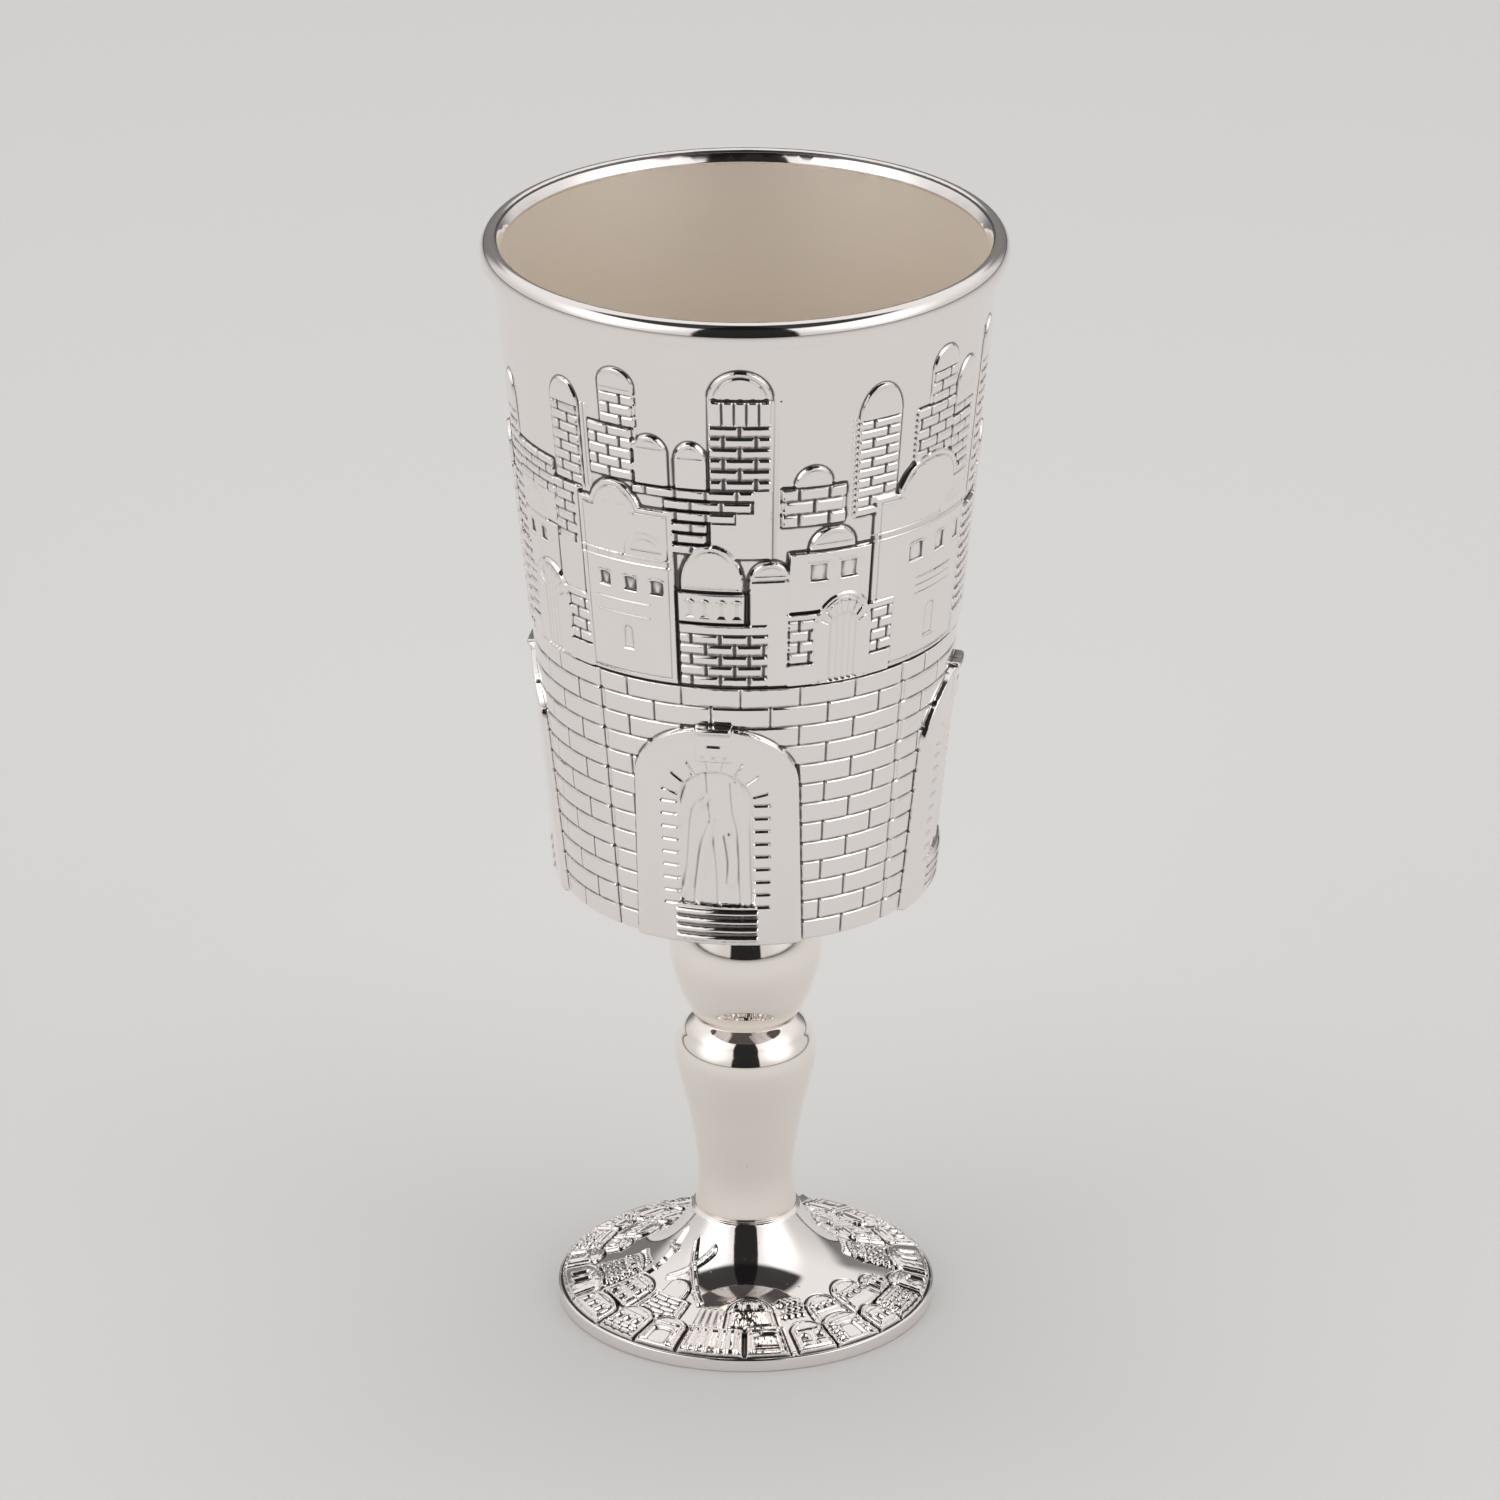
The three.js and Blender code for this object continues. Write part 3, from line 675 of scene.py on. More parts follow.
def thinned(mesh, faces):
    """The mesh with fewer faces, kept where the relief is."""
    piece = placed(mesh.name, mesh)
    modifier = piece.modifiers.new("thin", "DECIMATE")
    modifier.ratio = faces / (2 * len(mesh.polygons))
    modifier.use_collapse_triangulate = True
    graph = bpy.context.evaluated_depsgraph_get()
    final = bpy.data.meshes.new_from_object(piece.evaluated_get(graph))
    piece.modifiers.clear()
    piece.data = final
    bpy.data.meshes.remove(mesh)
    final.name = piece.name
    return piece


def corner_places(mesh, pull):
    """Each face corner's own vertex, and a place pulled from it towards the middle of its face, in mm."""
    places = np.empty(len(mesh.vertices) * 3, np.float32)
    mesh.vertices.foreach_get("co", places)
    places = places.reshape(-1, 3).astype(float) / MM
    index = np.empty(len(mesh.loops), np.int32)
    mesh.loops.foreach_get("vertex_index", index)
    corners = places[index].reshape(-1, 3, 3)
    middle = corners.mean(axis=1, keepdims=True)
    return corners.reshape(-1, 3), (corners + (middle - corners) * pull).reshape(-1, 3)


def sampled(field, row, column):
    """A field's value between its grid's places, where the columns go round."""
    rows, columns = field.shape
    row = np.clip(row, 0, rows - 1.001)
    low, left = np.floor(row).astype(int), np.floor(column).astype(int)
    up, along = row - low, column - left
    right = (left + 1) % columns
    left = left % columns
    below = field[low, left] * (1 - along) + field[low, right] * along
    above = field[low + 1, left] * (1 - along) + field[low + 1, right] * along
    return below * (1 - up) + above * up


class Turned:
    """A turned surface with relief on one stretch of its profile, thinned where it is plain.

    before and after are the plain [radius, height] points on either side of the relief's rows, and
    base gives the relief's own rows. outward and upward say which way the relief stands off them."""

    def __init__(self, name, before, base, after, lift, outward, upward):
        self.name = name
        self.columns = lift.shape[1]
        self.first = len(before)
        self.last = self.first + len(base)
        self.profile = np.array([*before, *base, *after], float)
        raised = np.zeros((len(self.profile), self.columns))
        raised[self.first:self.last] = lift
        self.outward, self.upward = np.zeros((2, len(self.profile), 1))
        self.outward[self.first:self.last, 0] = outward
        self.upward[self.first:self.last, 0] = upward
        self.raised = raised
        self.radii = self.profile[:, :1] + raised * self.outward
        self.heights = self.profile[:, 1:] + raised * self.upward

    def mesh(self):
        return turned_mesh(self.name, self.radii, self.heights, self.columns)

    def plain_normals(self):
        """The outward normal of each row without its relief, as [outward, upward]."""
        step = np.gradient(self.profile, axis=0)
        length = np.linalg.norm(step, axis=1, keepdims=True)
        return np.stack([step[:, 1], -step[:, 0]], -1) / length

    def relief_normals(self):
        """What the relief adds to each place's normal: outward, sideways and upward."""
        turn = radians(360 / self.columns)
        radius_up, height_up = np.gradient(self.radii, axis=0), np.gradient(self.heights, axis=0)
        wrap = np.concatenate([self.raised[:, -1:], self.raised, self.raised[:, :1]], axis=1)
        slope = (wrap[:, 2:] - wrap[:, :-2]) / 2
        plain = self.plain_normals()
        radius_along = slope * self.outward
        height_along = slope * self.upward
        side = self.radii * turn
        outward = side * height_up
        sideways = radius_up * height_along - height_up * radius_along
        upward = -side * radius_up
        length = np.sqrt(outward ** 2 + sideways ** 2 + upward ** 2) + 1e-12
        outward, sideways, upward = outward / length, sideways / length, upward / length
        return outward - plain[:, :1], sideways, upward - plain[:, 1:]

    def grid_places(self, places, level):
        """The row and column, with fractions, of places in space. Level ones keep their height."""
        radius = np.hypot(places[:, 0], places[:, 1])
        height = places[:, 2]
        degrees = np.degrees(np.arctan2(places[:, 0], -places[:, 1]))
        column = (degrees + HALF_TURN / 2) % 360 * self.columns / 360
        knots = np.arange(len(self.profile))
        if level:
            knots = np.concatenate([knots[:self.first + 1], knots[self.last - 1:]])
        best = np.full(len(places), 1e9)
        row = np.zeros(len(places))
        for low, high in zip(knots, knots[1:]):
            start, end = self.profile[low], self.profile[high]
            step = end - start
            share = ((radius - start[0]) * step[0] + (height - start[1]) * step[1]) / (step @ step + 1e-12)
            share = np.clip(share, 0, 1)
            gap = np.hypot(radius - start[0] - share * step[0], height - start[1] - share * step[1])
            if level and high - low > 1:
                share = np.clip((height - start[1]) / step[1], 0, 1)
                outside = radius > start[0] + share * step[0] - RELIEF_ROOT
                gap = np.where(outside, np.maximum(gap - RELIEF_REACH, 0.0), gap)
            closer = gap < best
            best[closer] = gap[closer]
            row[closer] = (low + share * (high - low))[closer]
        return row, column

    def dressed(self, piece, level, pull=0.4):
        """Gives the thinned mesh the full relief's normals, its unrolled map and each corner's hollow."""
        mesh = piece.data
        corners, pulled = corner_places(mesh, pull)
        row, column = self.grid_places(corners, level)
        near_row, near_column = self.grid_places(pulled, level)
        plain = self.plain_normals()
        knots = np.arange(len(plain))
        outward = np.interp(row, knots, plain[:, 0])
        upward = np.interp(row, knots, plain[:, 1])
        add_outward, sideways, add_upward = (
            sampled(field, near_row, near_column) for field in self.relief_normals())
        outward += add_outward
        upward += add_upward
        angle = np.radians(column * 360 / self.columns - HALF_TURN / 2)
        normals = np.stack([
            outward * np.sin(angle) + sideways * np.cos(angle),
            -outward * np.cos(angle) + sideways * np.sin(angle),
            upward], -1)
        normals /= np.linalg.norm(normals, axis=1, keepdims=True)
        mesh.polygons.foreach_set("use_smooth", np.ones(len(mesh.polygons), bool))
        mesh.normals_split_custom_set(normals.tolist())

        length = np.concatenate([[0], np.cumsum(np.linalg.norm(np.diff(self.profile, axis=0), axis=1))])
        middle = near_column.reshape(-1, 3)[:, :1]
        around = column.reshape(-1, 3)
        around = around + np.round((middle - around) / self.columns) * self.columns
        places = np.stack([
            lerp(0.01, 0.99, around.ravel() / self.columns),
            lerp(0.01, 0.99, np.interp(row, knots, length) / length[-1])], -1)
        unrolled = mesh.uv_layers.new(name="OFBake")
        unrolled.uv.foreach_set("vector", np.clip(places, 0, 1).astype(np.float32).ravel())
        # Each corner's hollow: how far it lies below its surroundings. The silver is painted darker there,
        # as shade with some tarnish.
        hollow = mesh.attributes.new("hollow", "FLOAT", "CORNER")
        capped = np.minimum(self.raised, SHADE_TOP)
        beside = blurred(capped, 5) - capped
        depth = np.maximum(beside, GROOVE_SHADE * (filled(self.raised, 4) - self.raised))
        hollow.data.foreach_set("value", sampled(depth, near_row, near_column).astype(np.float32))
        return near_row.reshape(-1, 3).mean(axis=1)


def blurred(field, reach):
    """A field averaged over a square of places either way, where the columns go round."""
    for axis in (0, 1):
        total = sum(np.roll(field, shift, axis=axis) for shift in range(-reach, reach + 1))
        field = total / (2 * reach + 1)
    return field


def filled(field, reach):
    """A field with its narrow grooves filled up to the lower of their two sides."""
    for pick in (np.maximum, np.minimum):
        for axis in (0, 1):
            field = pick.reduce([np.roll(field, shift, axis=axis) for shift in range(-reach, reach + 1)])
    return field


def arc(middle, radii, start, end, steps):
    """Points on an elliptical arc, angles in degrees from the outward direction."""
    angles = [radians(lerp(start, end, i / steps)) for i in range(steps + 1)]
    return [(middle[0] + radii[0] * cos(a), middle[1] + radii[1] * sin(a)) for a in angles]


def make_cup():
    town = make_town()
    lift = tiled(town.lift)
    outside = wall_radius(town.heights)
    heights = town.heights + CUP_FOOT + TOWN_WALL
    edge = smooth((heights - CUP_FOOT) / 0.25)
    outside = outside - 0.12 * (1 - edge)
    rim_foot = RIM_TOP - RIM_HEIGHT
    roll = (WALL_TOP_RADIUS + RIM_ROLL[0] / 6, RIM_TOP - RIM_ROLL[1])
    fillet = spline([
        (WALL_TOP_RADIUS, rim_foot), (WALL_TOP_RADIUS + 0.18, rim_foot + 0.42),
        (WALL_TOP_RADIUS + 0.75, rim_foot + 0.78), arc(roll, RIM_ROLL, ROLL_START, 0, 1)[0]], 14)
    inner_foot = CUP_FOOT + CUP_FLOOR
    corner = lerp(TOWN_FOOT_RADIUS, WALL_TOP_RADIUS, (CUP_FLOOR + FLOOR_CORNER) / (TOWN_WALL + SKY_BAND))
    corner -= CUP_WALL
    lip = (LIP_RADIUS, RIM_TOP - LIP_DROP)
    seam = arc(roll, RIM_ROLL, ROLL_START, ROLL_END, 1)[1]
    chamfer = [(seam[0] - inward, seam[1] - down) for inward, down in CHAMFER]
    corner_top = inner_foot + FLOOR_CORNER
    shares = [i / INNER_ROWS for i in range(1, INNER_ROWS)]
    after = [
        *fillet[1:-1], *arc(roll, RIM_ROLL, ROLL_START, ROLL_END, ROLL_STEPS), *chamfer,
        *arc((lip[0] + 0.25, lip[1] + 0.12), (0.25, 0.3), 150, 185, 5),
        *[(lerp(lip[0], corner, share), lerp(lip[1], corner_top, share)) for share in shares],
        *arc((corner - FLOOR_CORNER, corner_top), (FLOOR_CORNER, FLOOR_CORNER), 0, -90, 12),
        *[(radius, inner_foot) for radius in (16, 12, 8, 4, 1)],
    ]
    before = [(radius, CUP_FOOT) for radius in (1, 6, 12, 18, 22, 22.6)]
    surface = Turned("cup_town", before, list(zip(outside, heights)), after, lift, 1.0, 0.0)
    seam_row = surface.last + len(fillet) - 2 + ROLL_STEPS + 1
    # A dark line painted along the seam, as shade in its crease with some grime. The radii are worked out
    # already, so it changes no shape.
    surface.raised[seam_row - 1:seam_row + 2] = -SEAM_SHADE
    piece = thinned(surface.mesh(), CUP_FACES)
    rows = surface.dressed(piece, level=True)
    inside = (rows > seam_row + 1).astype(np.int32)
    piece.data.materials.append(polished("silver_town", cavities=True))
    piece.data.materials.append(satin("silver_satin"))
    piece.data.polygons.foreach_set("material_index", inside)
    return piece


def ring(radius):
    """How far up the foot's relief a radius lies: from the foot's edge inwards."""
    return FOOT_RADIUS - radius


def bell_height(radius):
    inward = (FOOT_RADIUS - radius) / (FOOT_RADIUS - FOOT_COLLAR)
    flare = FOOT_TOP - FOOT_EDGE - FOOT_LOWER_RISE
    return FOOT_EDGE + FOOT_LOWER_RISE * inward + flare * inward ** FOOT_FLARE_POWER


def bell_normal(radius):
    step = 0.01
    rise = (bell_height(radius - step) - bell_height(radius + step)) / (2 * step)
    length = np.hypot(rise, 1)
    return rise / length, 1 / length


def foot_house(houses, left, right, spring, crown, depth, base):
    """A round-headed house on the foot, with a double line round its head."""
    body = dome(left, right, ring(base), ring(spring), ring(crown))
    houses.raised(body, depth - 0.1, bevel=0.24, moat=0.22)
    houses.swollen(body, 0.22, 1.3)
    houses.contour(body, 0.5, 0.2, -0.15)


def foot_openings(houses, places):
    """Sunk doors and windows, each [left, right, outer radius, inner radius]."""
    for left, right, outer, inner in places:
        head = min(0.5, (outer - inner) / 2)
        opening = dome(left, right, ring(outer), ring(inner + head), ring(inner))
        houses.sunk(opening, 0.3, bevel=0.22, rim=0.1)


def foot_ledges(houses, places, height=0.16):
    for left, right, radius in places:
        houses.ledge(left, right, ring(radius), 0.26, height)


def make_houses():
    houses = Sheet(TOWN_COLUMNS // 2, ring(FOOT_RADIUS - 0.15), ring(FOOT_COLLAR), HOUSE_ROWS,
                   lambda height: FOOT_RADIUS - height)
    behind = ((-92, -73, 14.2, 13.2), (-70, -53, 15.3, 13.9), (-50, -29, 15, 14.6), (-9, 13, 15.4, 13.3),
              (29, 45.5, 16, 14.3), (46.5, 65, 15.8, 13.8), (65.5, 77.5, 16.8, 15.6))
    for left, right, spring, crown in behind:
        foot_house(houses, left, right, spring, crown, BACK_HOUSE_DEPTH, 19.3)
    houses.bricks(box(-92, -73, ring(19), ring(14.2)), ring(14.2), 0.75, 6, -80, cut=0.16, bevel=0.2)
    for degree in np.arange(-91, -73, 2.6):
        houses.post(degree, ring(13.4), ring(12.7), 0.42, 0.3)
        houses.post(degree, ring(15.2), ring(15.0), 0.4, 0.2)
    foot_ledges(houses, ((-70, -53, 15.3), (-70, -53, 17.2), (-49, -30, 15), (-9, 13, 15.4), (29, 45, 16),
                         (47, 64.5, 15.8), (66, 77, 16.8), (29, 45, 17.3), (47, 64.5, 17.4)))
    foot_openings(houses, (
        (-67, -64.5, 17, 16), (-61.5, -59, 17, 16), (-56.5, -54.5, 17, 16), (-66, -63.5, 18.8, 17.8),
        (-60, -57.5, 18.8, 17.8), (0, 2.6, 15.2, 14.2), (6, 8.6, 15.2, 14.2), (-6, -3.6, 15.2, 14.2),
        (32, 34.4, 17, 16.3), (36, 38.4, 17, 16.3), (40, 42.4, 17, 16.3), (50, 52.2, 17, 16.2),
        (55, 57.2, 17, 16.2), (60, 62.2, 17, 16.2), (69, 71, 18.4, 17.4), (73, 75, 18.4, 17.4)))
    houses.bricks(box(-47, -32, ring(18.4), ring(15.2)), ring(15.2), 0.72, 7, -40, cut=0.18, bevel=0.22)
    for degree in (-21, -18, -15, -12):
        houses.post(degree, ring(18.2), ring(15.4), 0.4, 0.3)
    for degree in range(17, 29, 3):
        for row in range(3):
            at = (degree + row % 2 * 1.5, ring(16.6 - row * 1.0))
            houses.stroke([at, (at[0] + 1.2, at[1] + 0.3)], 0.6, 0.34)

    houses.post(-67.5, ring(14.5), ring(8.4), 0.62, 0.36)
    foot_ledges(houses, ((-75, -62, 9.8),), height=0.4)
    foot_ledges(houses, ((-70, -65, 11.4), (-70, -65, 12.6)), height=0.14)
    houses.raised(dome(-47, -33, ring(15), ring(13.2), ring(12.2)), LANDMARK_DEPTH, bevel=0.25, moat=0.16)
    for start, end in (((-52, 12.5), (-28, 8.8)), ((-47, 8.6), (-24, 14.6))):
        sail = [(lerp(start[0], end[0], i / 8), ring(lerp(start[1], end[1], i / 8))) for i in range(9)]
        houses.stroke(sail, 0.6, 0.4)
        houses.stroke(sail, 0.2, -0.16)

    ahead = ((-92, -71, 20.5, 18.5), (-71, -54, 21, 19.3), (-52.5, -38, 19.6, 18.1), (-37, -23, 19.5, 18),
             (-22, -1, 18.9, 18.6), (0, 14, 18.6, 18.2), (17, 29.5, 19.6, 18), (30, 46, 19.8, 18.2),
             (47, 57, 20.6, 19), (58, 73, 19.6, 19.2), (74, 87, 20, 18.6))
    for left, right, spring, crown in ahead:
        foot_house(houses, left, right, spring, crown, FRONT_HOUSE_DEPTH, 23.7)
    foot_ledges(houses, (
        (-70, -55, 20.6), (-52, -39, 20), (-36.6, -23.4, 19.6), (-21, -2, 19.5), (1, 13, 19.3),
        (17.5, 29, 20), (30.5, 45.5, 19.8), (47.5, 56.5, 20.7), (58.5, 72.5, 20.2), (75, 86, 20)))
    foot_openings(houses, (
        (-86, -82.6, 22.4, 20), (-81, -77.6, 22.4, 20), (-68, -65, 22.6, 21.2), (-63.5, -60.5, 22.6, 21.2),
        (-59, -56.5, 22.6, 21.2), (-50.5, -47.8, 21.6, 20.5), (-46.4, -43.8, 21.6, 20.5),
        (-42.3, -40, 21.6, 20.5), (-34, -26.5, 23.2, 20.4), (2.5, 11.5, 23.2, 19.8), (19, 21.6, 22, 20.8),
        (24.6, 27.2, 22, 20.8), (34.5, 41, 23.2, 20.4), (49.5, 51.6, 22.6, 21.4), (53, 55.2, 22.6, 21.4),
        (60, 62.4, 22.8, 21.6), (66, 68.6, 22.8, 21.6), (77.5, 83, 23.2, 20.8)))
    for degree in (-19, -16.2, -13.2, -9.2, -6.4, -3.4):
        houses.post(degree, ring(23.4), ring(19.7), 0.36, 0.24)
    for left, right, top, joint in ((30.6, 34, 20.2, 32.2), (41.5, 45.5, 20.2, 43.5), (58.4, 72.6, 20.4, 62),
                                    (11.8, 13.8, 19.5, 12.8), (-52, -39, 21.8, -46)):
        block = box(left, right, ring(23.5), ring(top))
        houses.bricks(block, ring(top), 0.7, 3.6, joint, cut=0.2, bevel=0.2)
    for row in range(3):
        foot_ledges(houses, ((3.2, 10.8, 21.9 + 0.5 * row),), height=0.14)
    houses.ledge(-92, 90, ring(23.35), 0.2, -0.2)
    lumps = blurred(np.random.default_rng(5).normal(size=houses.lift.shape), CAST_GRAIN)
    houses.lift += CAST_LUMPS * lumps / lumps.std() * smooth(houses.lift / 0.2)
    return houses


def make_foot():
    houses = make_houses()
    radii = FOOT_RADIUS - houses.heights
    outward, upward = bell_normal(radii)
    under = FOOT_TOP - FOOT_PLATE
    ring_inside = FOOT_RADIUS - STANDING_RING
    hollow = []
    for i in range(SHELL_POINTS):
        radius = lerp(FOOT_COLLAR, FOOT_RADIUS, i / (SHELL_POINTS - 1))
        out, up = bell_normal(radius)
        place = (radius - out * FOOT_SHELL, bell_height(radius) - up * FOOT_SHELL)
        clear = SHELL_CLEARANCE < place[1] < under - SHELL_CLEARANCE
        if clear and place[0] < ring_inside - SHELL_CLEARANCE:
            hollow.append(place)
    first = hollow[0][0]
    before = [(first * 0.15, under), (first * 0.6, under), (first * 0.9, under), *hollow,
              (ring_inside, 0.03), (ring_inside + 0.05, 0),
              (FOOT_RADIUS - 0.25, 0), *arc((FOOT_RADIUS - 0.15, 0.15), (0.15, 0.15), -90, 0, 5),
              (FOOT_RADIUS, 0.6), (FOOT_RADIUS, 1.1), *arc((FOOT_RADIUS - 0.2, 1.5), (0.2, 0.2), 0, 70, 6)]
    collar = FOOT_COLLAR - FOOT_COLLAR_ROUND
    after = [*arc((collar, FOOT_TOP - FOOT_COLLAR_ROUND), (FOOT_COLLAR_ROUND, FOOT_COLLAR_ROUND), 20, 90, 6),
             (collar * 0.9, FOOT_TOP), (collar * 0.5, FOOT_TOP), (collar * 0.1, FOOT_TOP)]
    base = list(zip(radii, bell_height(radii)))[:-1]
    surface = Turned("foot_town", before, base, after, tiled(houses.lift)[:-1], outward[:-1], upward[:-1])
    piece = thinned(surface.mesh(), FOOT_FACES)
    surface.dressed(piece, level=False)
    piece.data.materials.append(polished("silver_foot", cavities=True))
    return piece


def feed(tree, node, inputs):
    """Sets a node's inputs, by name or number, to values, or links them to other nodes' outputs."""
    for key, value in inputs.items():
        if isinstance(value, bpy.types.NodeSocket):
            tree.links.new(value, node.inputs[key])
        else:
            node.inputs[key].default_value = value


def add_node(tree, kind, inputs=(), **settings):
    """Adds a node with its settings and its inputs; gives its first output."""
    node = tree.nodes.new("ShaderNode" + kind)
    for key, value in settings.items():
        setattr(node, key, value)
    feed(tree, node, dict(inputs))
    return node.outputs[0]


def ranged(tree, value, low, high, start, end):
    """A smooth step from start to end as the value goes from low to high."""
    inputs = {"Value": value, "From Min": low, "From Max": high, "To Min": start, "To Max": end}
    return add_node(tree, "MapRange", inputs, interpolation_type="SMOOTHSTEP")


def mixed(tree, share, first, second):
    """A colour between two, by a share."""
    node = tree.nodes.new("ShaderNodeMix")
    node.data_type = "RGBA"
    feed(tree, node, {"Factor": share, "A": first, "B": second})
    return node.outputs["Result"]


def new_material(name):
    material = bpy.data.materials.new(name)
    material.use_nodes = True
    tree = material.node_tree
    shader = tree.nodes["Principled BSDF"]
    shader.inputs["Metallic"].default_value = 1.0
    place = tree.nodes.new("ShaderNodeTexCoord").outputs["Object"]
    return material, tree, shader, place


def noise(tree, place, scale, detail):
    return add_node(tree, "TexNoise", {"Vector": place, "Scale": scale, "Detail": detail})


def bumped(tree, height, distance, strength, normal=None):
    inputs = {"Height": height, "Distance": distance, "Strength": strength}
    if normal is not None:
        inputs["Normal"] = normal
    return add_node(tree, "Bump", inputs)


def polished(name, cavities, light=SILVER_LIGHT, dark=SILVER_DARK):
    """Bright silver plate: faint waves, hair scratches, a few pits, and the relief's hollows and joints
    painted dark and dull as shade, with some tarnish.
    """
    material, tree, shader, place = new_material(name)
    waves = noise(tree, place, 190.0, 2.0)
    grain = noise(tree, place, 2600.0, 3.0)
    clouds = noise(tree, place, 55.0, 3.0)
    stretch = add_node(tree, "Mapping", {
        "Vector": place, "Rotation": (0.5, 0.35, 0.2), "Scale": (2600.0, 2600.0, 130.0)})
    hairs = ranged(tree, noise(tree, stretch, 1.0, 1.0), 0.70, 0.74, 0.0, 1.0)
    spots = add_node(tree, "TexVoronoi", {"Vector": place, "Scale": 260.0})
    pits = ranged(tree, spots, 0.02, 0.06, 1.0, 0.0)
    bright = mixed(tree, clouds, light, dark)
    rough = ranged(tree, grain, 0.3, 0.8, POLISH[0], POLISH[1])
    rough = add_node(tree, "Math", {0: rough, 1: ranged(tree, hairs, 0, 1, 0, 0.12)}, operation="ADD")
    if cavities:
        hollow = tree.nodes.new("ShaderNodeAttribute")
        hollow.attribute_name = "hollow"
        # Painted shade, with some tarnish: the silver darker and duller where the relief is hollow
        shade_and_tarnish = ranged(tree, hollow.outputs["Fac"], *SHADE_DEPTHS, 0.0, 1.0)
        bright = mixed(tree, shade_and_tarnish, bright, SHADE_AND_TARNISH)
        rough = add_node(tree, "Math", {0: rough, 1: ranged(tree, shade_and_tarnish, 0, 1, 0, 0.3)}, operation="ADD")
    normal = bumped(tree, waves, 8e-6, 0.5)
    normal = bumped(tree, grain, 1.2e-6, 0.5, normal)
    normal = bumped(tree, pits, -1.5e-5, 0.5, normal)
    feed(tree, shader, {"Base Color": bright, "Roughness": rough, "Normal": normal})
    return material


def satin(name):
    """The inside: a polished lip, and below it fine brushed lines round the cup, warm and soft."""
    material, tree, shader, place = new_material(name)
    split = tree.nodes.new("ShaderNodeSeparateXYZ")
    feed(tree, split, {0: place})
    brushed = ranged(tree, split.outputs["Z"], *[z * MM for z in BRUSHED_FROM], 1.0, 0.0)
    brushing = add_node(tree, "Mapping", {"Vector": place, "Scale": (25.0, 25.0, 3200.0)})
    lines = noise(tree, brushing, 1.0, 3.0)
    clouds = noise(tree, place, 70.0, 3.0)
    tone = mixed(tree, lines, (0.985, 0.925, 0.855, 1), (0.965, 0.9, 0.825, 1))
    tone = mixed(tree, ranged(tree, clouds, 0.4, 0.7, 0, 0.5), tone, (0.97, 0.91, 0.835, 1))
    rough = ranged(tree, lines, 0.3, 0.7, 0.4, 0.48)
    feed(tree, shader, {
        "Base Color": mixed(tree, brushed, LIP_SILVER, tone),
        "Roughness": mixed(tree, brushed, (0.06, 0.06, 0.06, 1), rough),
        "Normal": bumped(tree, lines, 3e-6, 0.5),
        "Metallic": ranged(tree, brushed, 0, 1, 1.0, 0.8)})
    shader.inputs["Anisotropic"].default_value = 0.4
    return material


def make_camera():
    tilt = radians(CAMERA_HEIGHT)
    place = Vector((0, -CAMERA_DISTANCE * cos(tilt), CAMERA_AIM + CAMERA_DISTANCE * sin(tilt)))
    back = Vector((0, -cos(tilt), sin(tilt)))
    right = Vector((1, 0, 0))
    up = back.cross(right)
    turn = Matrix((right, up, back)).transposed()
    camera = placed("camera", bpy.data.cameras.new("camera"))
    middle = PHOTO_SIDE / 2
    camera.data.sensor_width = SENSOR_WIDTH
    camera.data.lens = SENSOR_WIDTH * FOCAL_PIXELS / PHOTO_SIDE
    camera.data.clip_end = 20
    camera.data.shift_x = (middle - AXIS_PIXEL[0]) / PHOTO_SIDE
    camera.data.shift_y = (AXIS_PIXEL[1] - middle) / PHOTO_SIDE
    roll = Matrix.Rotation(-radians(CAMERA_ROLL), 3, "Z")
    camera.matrix_world = Matrix.Translation(place * MM) @ (turn @ roll).to_4x4()
    bpy.context.scene.camera = camera


def make_floor():
    mesh = bpy.data.meshes.new("floor")
    half = FLOOR_SIDE / 2 * MM
    corners = [(-half, -half, 0), (half, -half, 0), (half, half, 0), (-half, half, 0)]
    mesh.from_pydata(corners, [], [(0, 1, 2, 3)])
    floor = placed("floor", mesh)
    material = bpy.data.materials.new("floor_paper")
    material.use_nodes = True
    shader = material.node_tree.nodes["Principled BSDF"]
    shader.inputs["Base Color"].default_value = FLOOR_PAPER
    shader.inputs["Roughness"].default_value = 0.9
    mesh.materials.append(material)


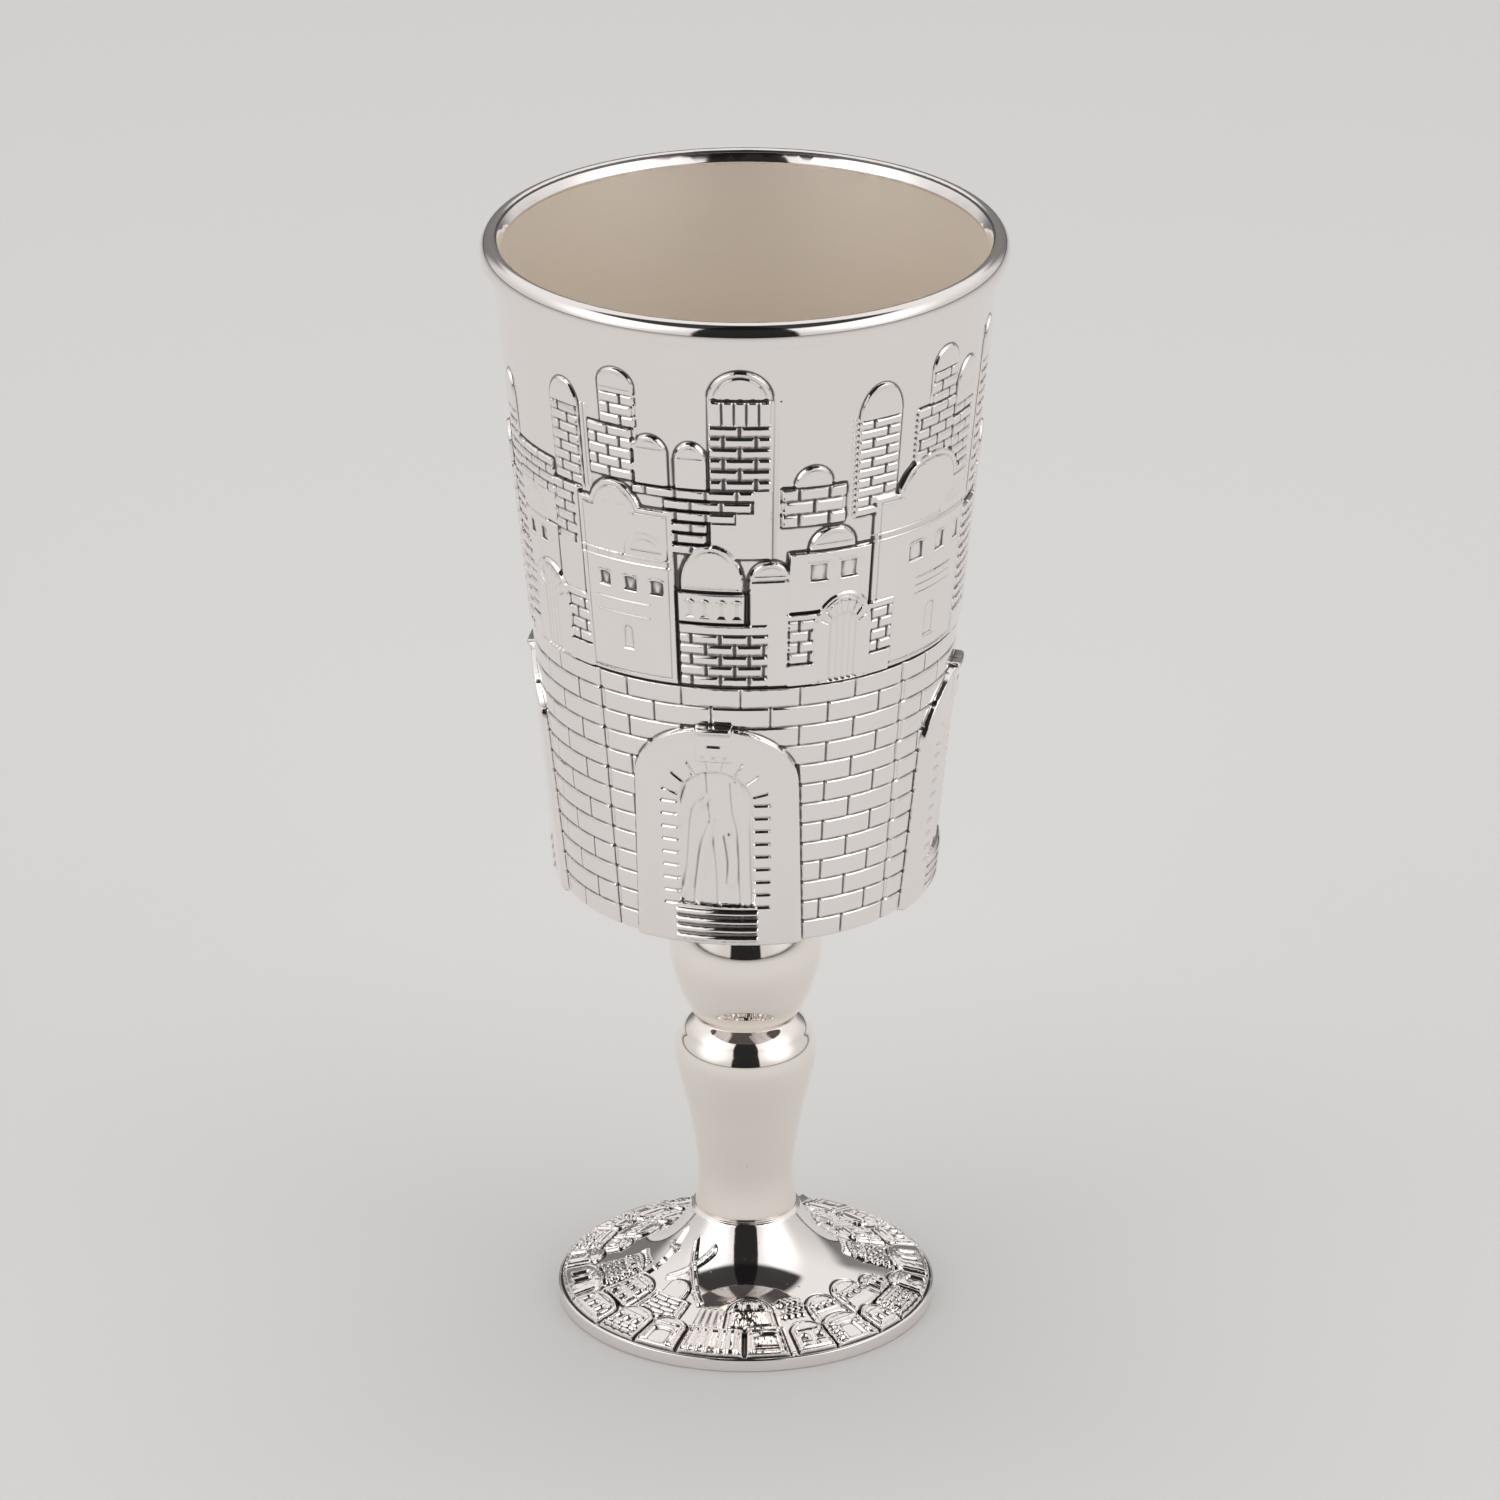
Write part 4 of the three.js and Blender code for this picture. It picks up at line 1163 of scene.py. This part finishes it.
def make_light():
    """A light tent: pale walls with a dark slit towards the camera, a dark opening above it, a greyer wall
    low down behind and two soft bright spots, and a soft lamp overhead for the floor."""
    world = bpy.data.worlds.new("light_tent")
    world.use_nodes = True
    bpy.context.scene.world = world
    tree = world.node_tree
    direction = tree.nodes.new("ShaderNodeTexCoord").outputs["Generated"]
    split = tree.nodes.new("ShaderNodeSeparateXYZ")
    feed(tree, split, {0: direction})
    x, y, z = split.outputs

    def math(kind, *values):
        return add_node(tree, "Math", dict(enumerate(values)), operation=kind)

    away = math("ABSOLUTE", math("ARCTAN2", x, math("MULTIPLY", y, -1.0)))
    height = math("ARCSINE", z)

    def step(value, low, high, start, end):
        return ranged(tree, value, radians(low), radians(high), start, end)

    walls = step(height, *WALL_RISE)
    for side in (-1, 1):
        turn, up = radians(SPOT_TURN * side), radians(SPOT_HEIGHT)
        dot = tree.nodes.new("ShaderNodeVectorMath")
        dot.operation = "DOT_PRODUCT"
        feed(tree, dot, {0: direction, 1: (sin(turn) * cos(up), -cos(turn) * cos(up), sin(up))})
        apart = math("ARCCOSINE", dot.outputs["Value"])
        spot = math("SUBTRACT", 1.0, math("DIVIDE", apart, radians(SPOT_REACH)))
        spot = math("MAXIMUM", spot, 0.0)
        walls = math("ADD", walls, math("MULTIPLY", math("POWER", spot, 2.0), SPOT_POWER))
    opening = math("MULTIPLY", step(height, *OPENING_FOOT), ranged(tree, y, *OPENING_BACK))
    behind = math("MULTIPLY", step(away, *BACK_TURN), step(height, *BACK_TOP))
    for shade in (math("SUBTRACT", 1.0, opening), math("SUBTRACT", 1.0, behind),
                  step(away, *SLIT), step(height, *HORIZON)):
        walls = math("MULTIPLY", walls, shade)
    background = tree.nodes["Background"]
    feed(tree, background, {"Strength": math("ADD", walls, DARKEST), "Color": TENT_COLOUR})

    lamp = placed("overhead_lamp", bpy.data.lights.new("overhead_lamp", "AREA"))
    lamp.data.shape = "DISK"
    lamp.data.size = LAMP_SIZE * MM
    lamp.data.energy = LAMP_WATTS
    lamp.location = (0, 0, LAMP_HEIGHT * MM)
    lamp.visible_glossy = False


make_camera()
make_floor()
make_light()
stem = make_stem()
stem.data.materials.append(polished("silver_stem", cavities=False, light=WARM_LIGHT, dark=WARM_DARK))
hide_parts("stem")
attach(stem, "root")
cup = make_cup()
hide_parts("cup")
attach(cup, "root")
foot = make_foot()
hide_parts("foot")
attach(foot, "root")
bpy.context.scene.view_settings.view_transform = "Standard"
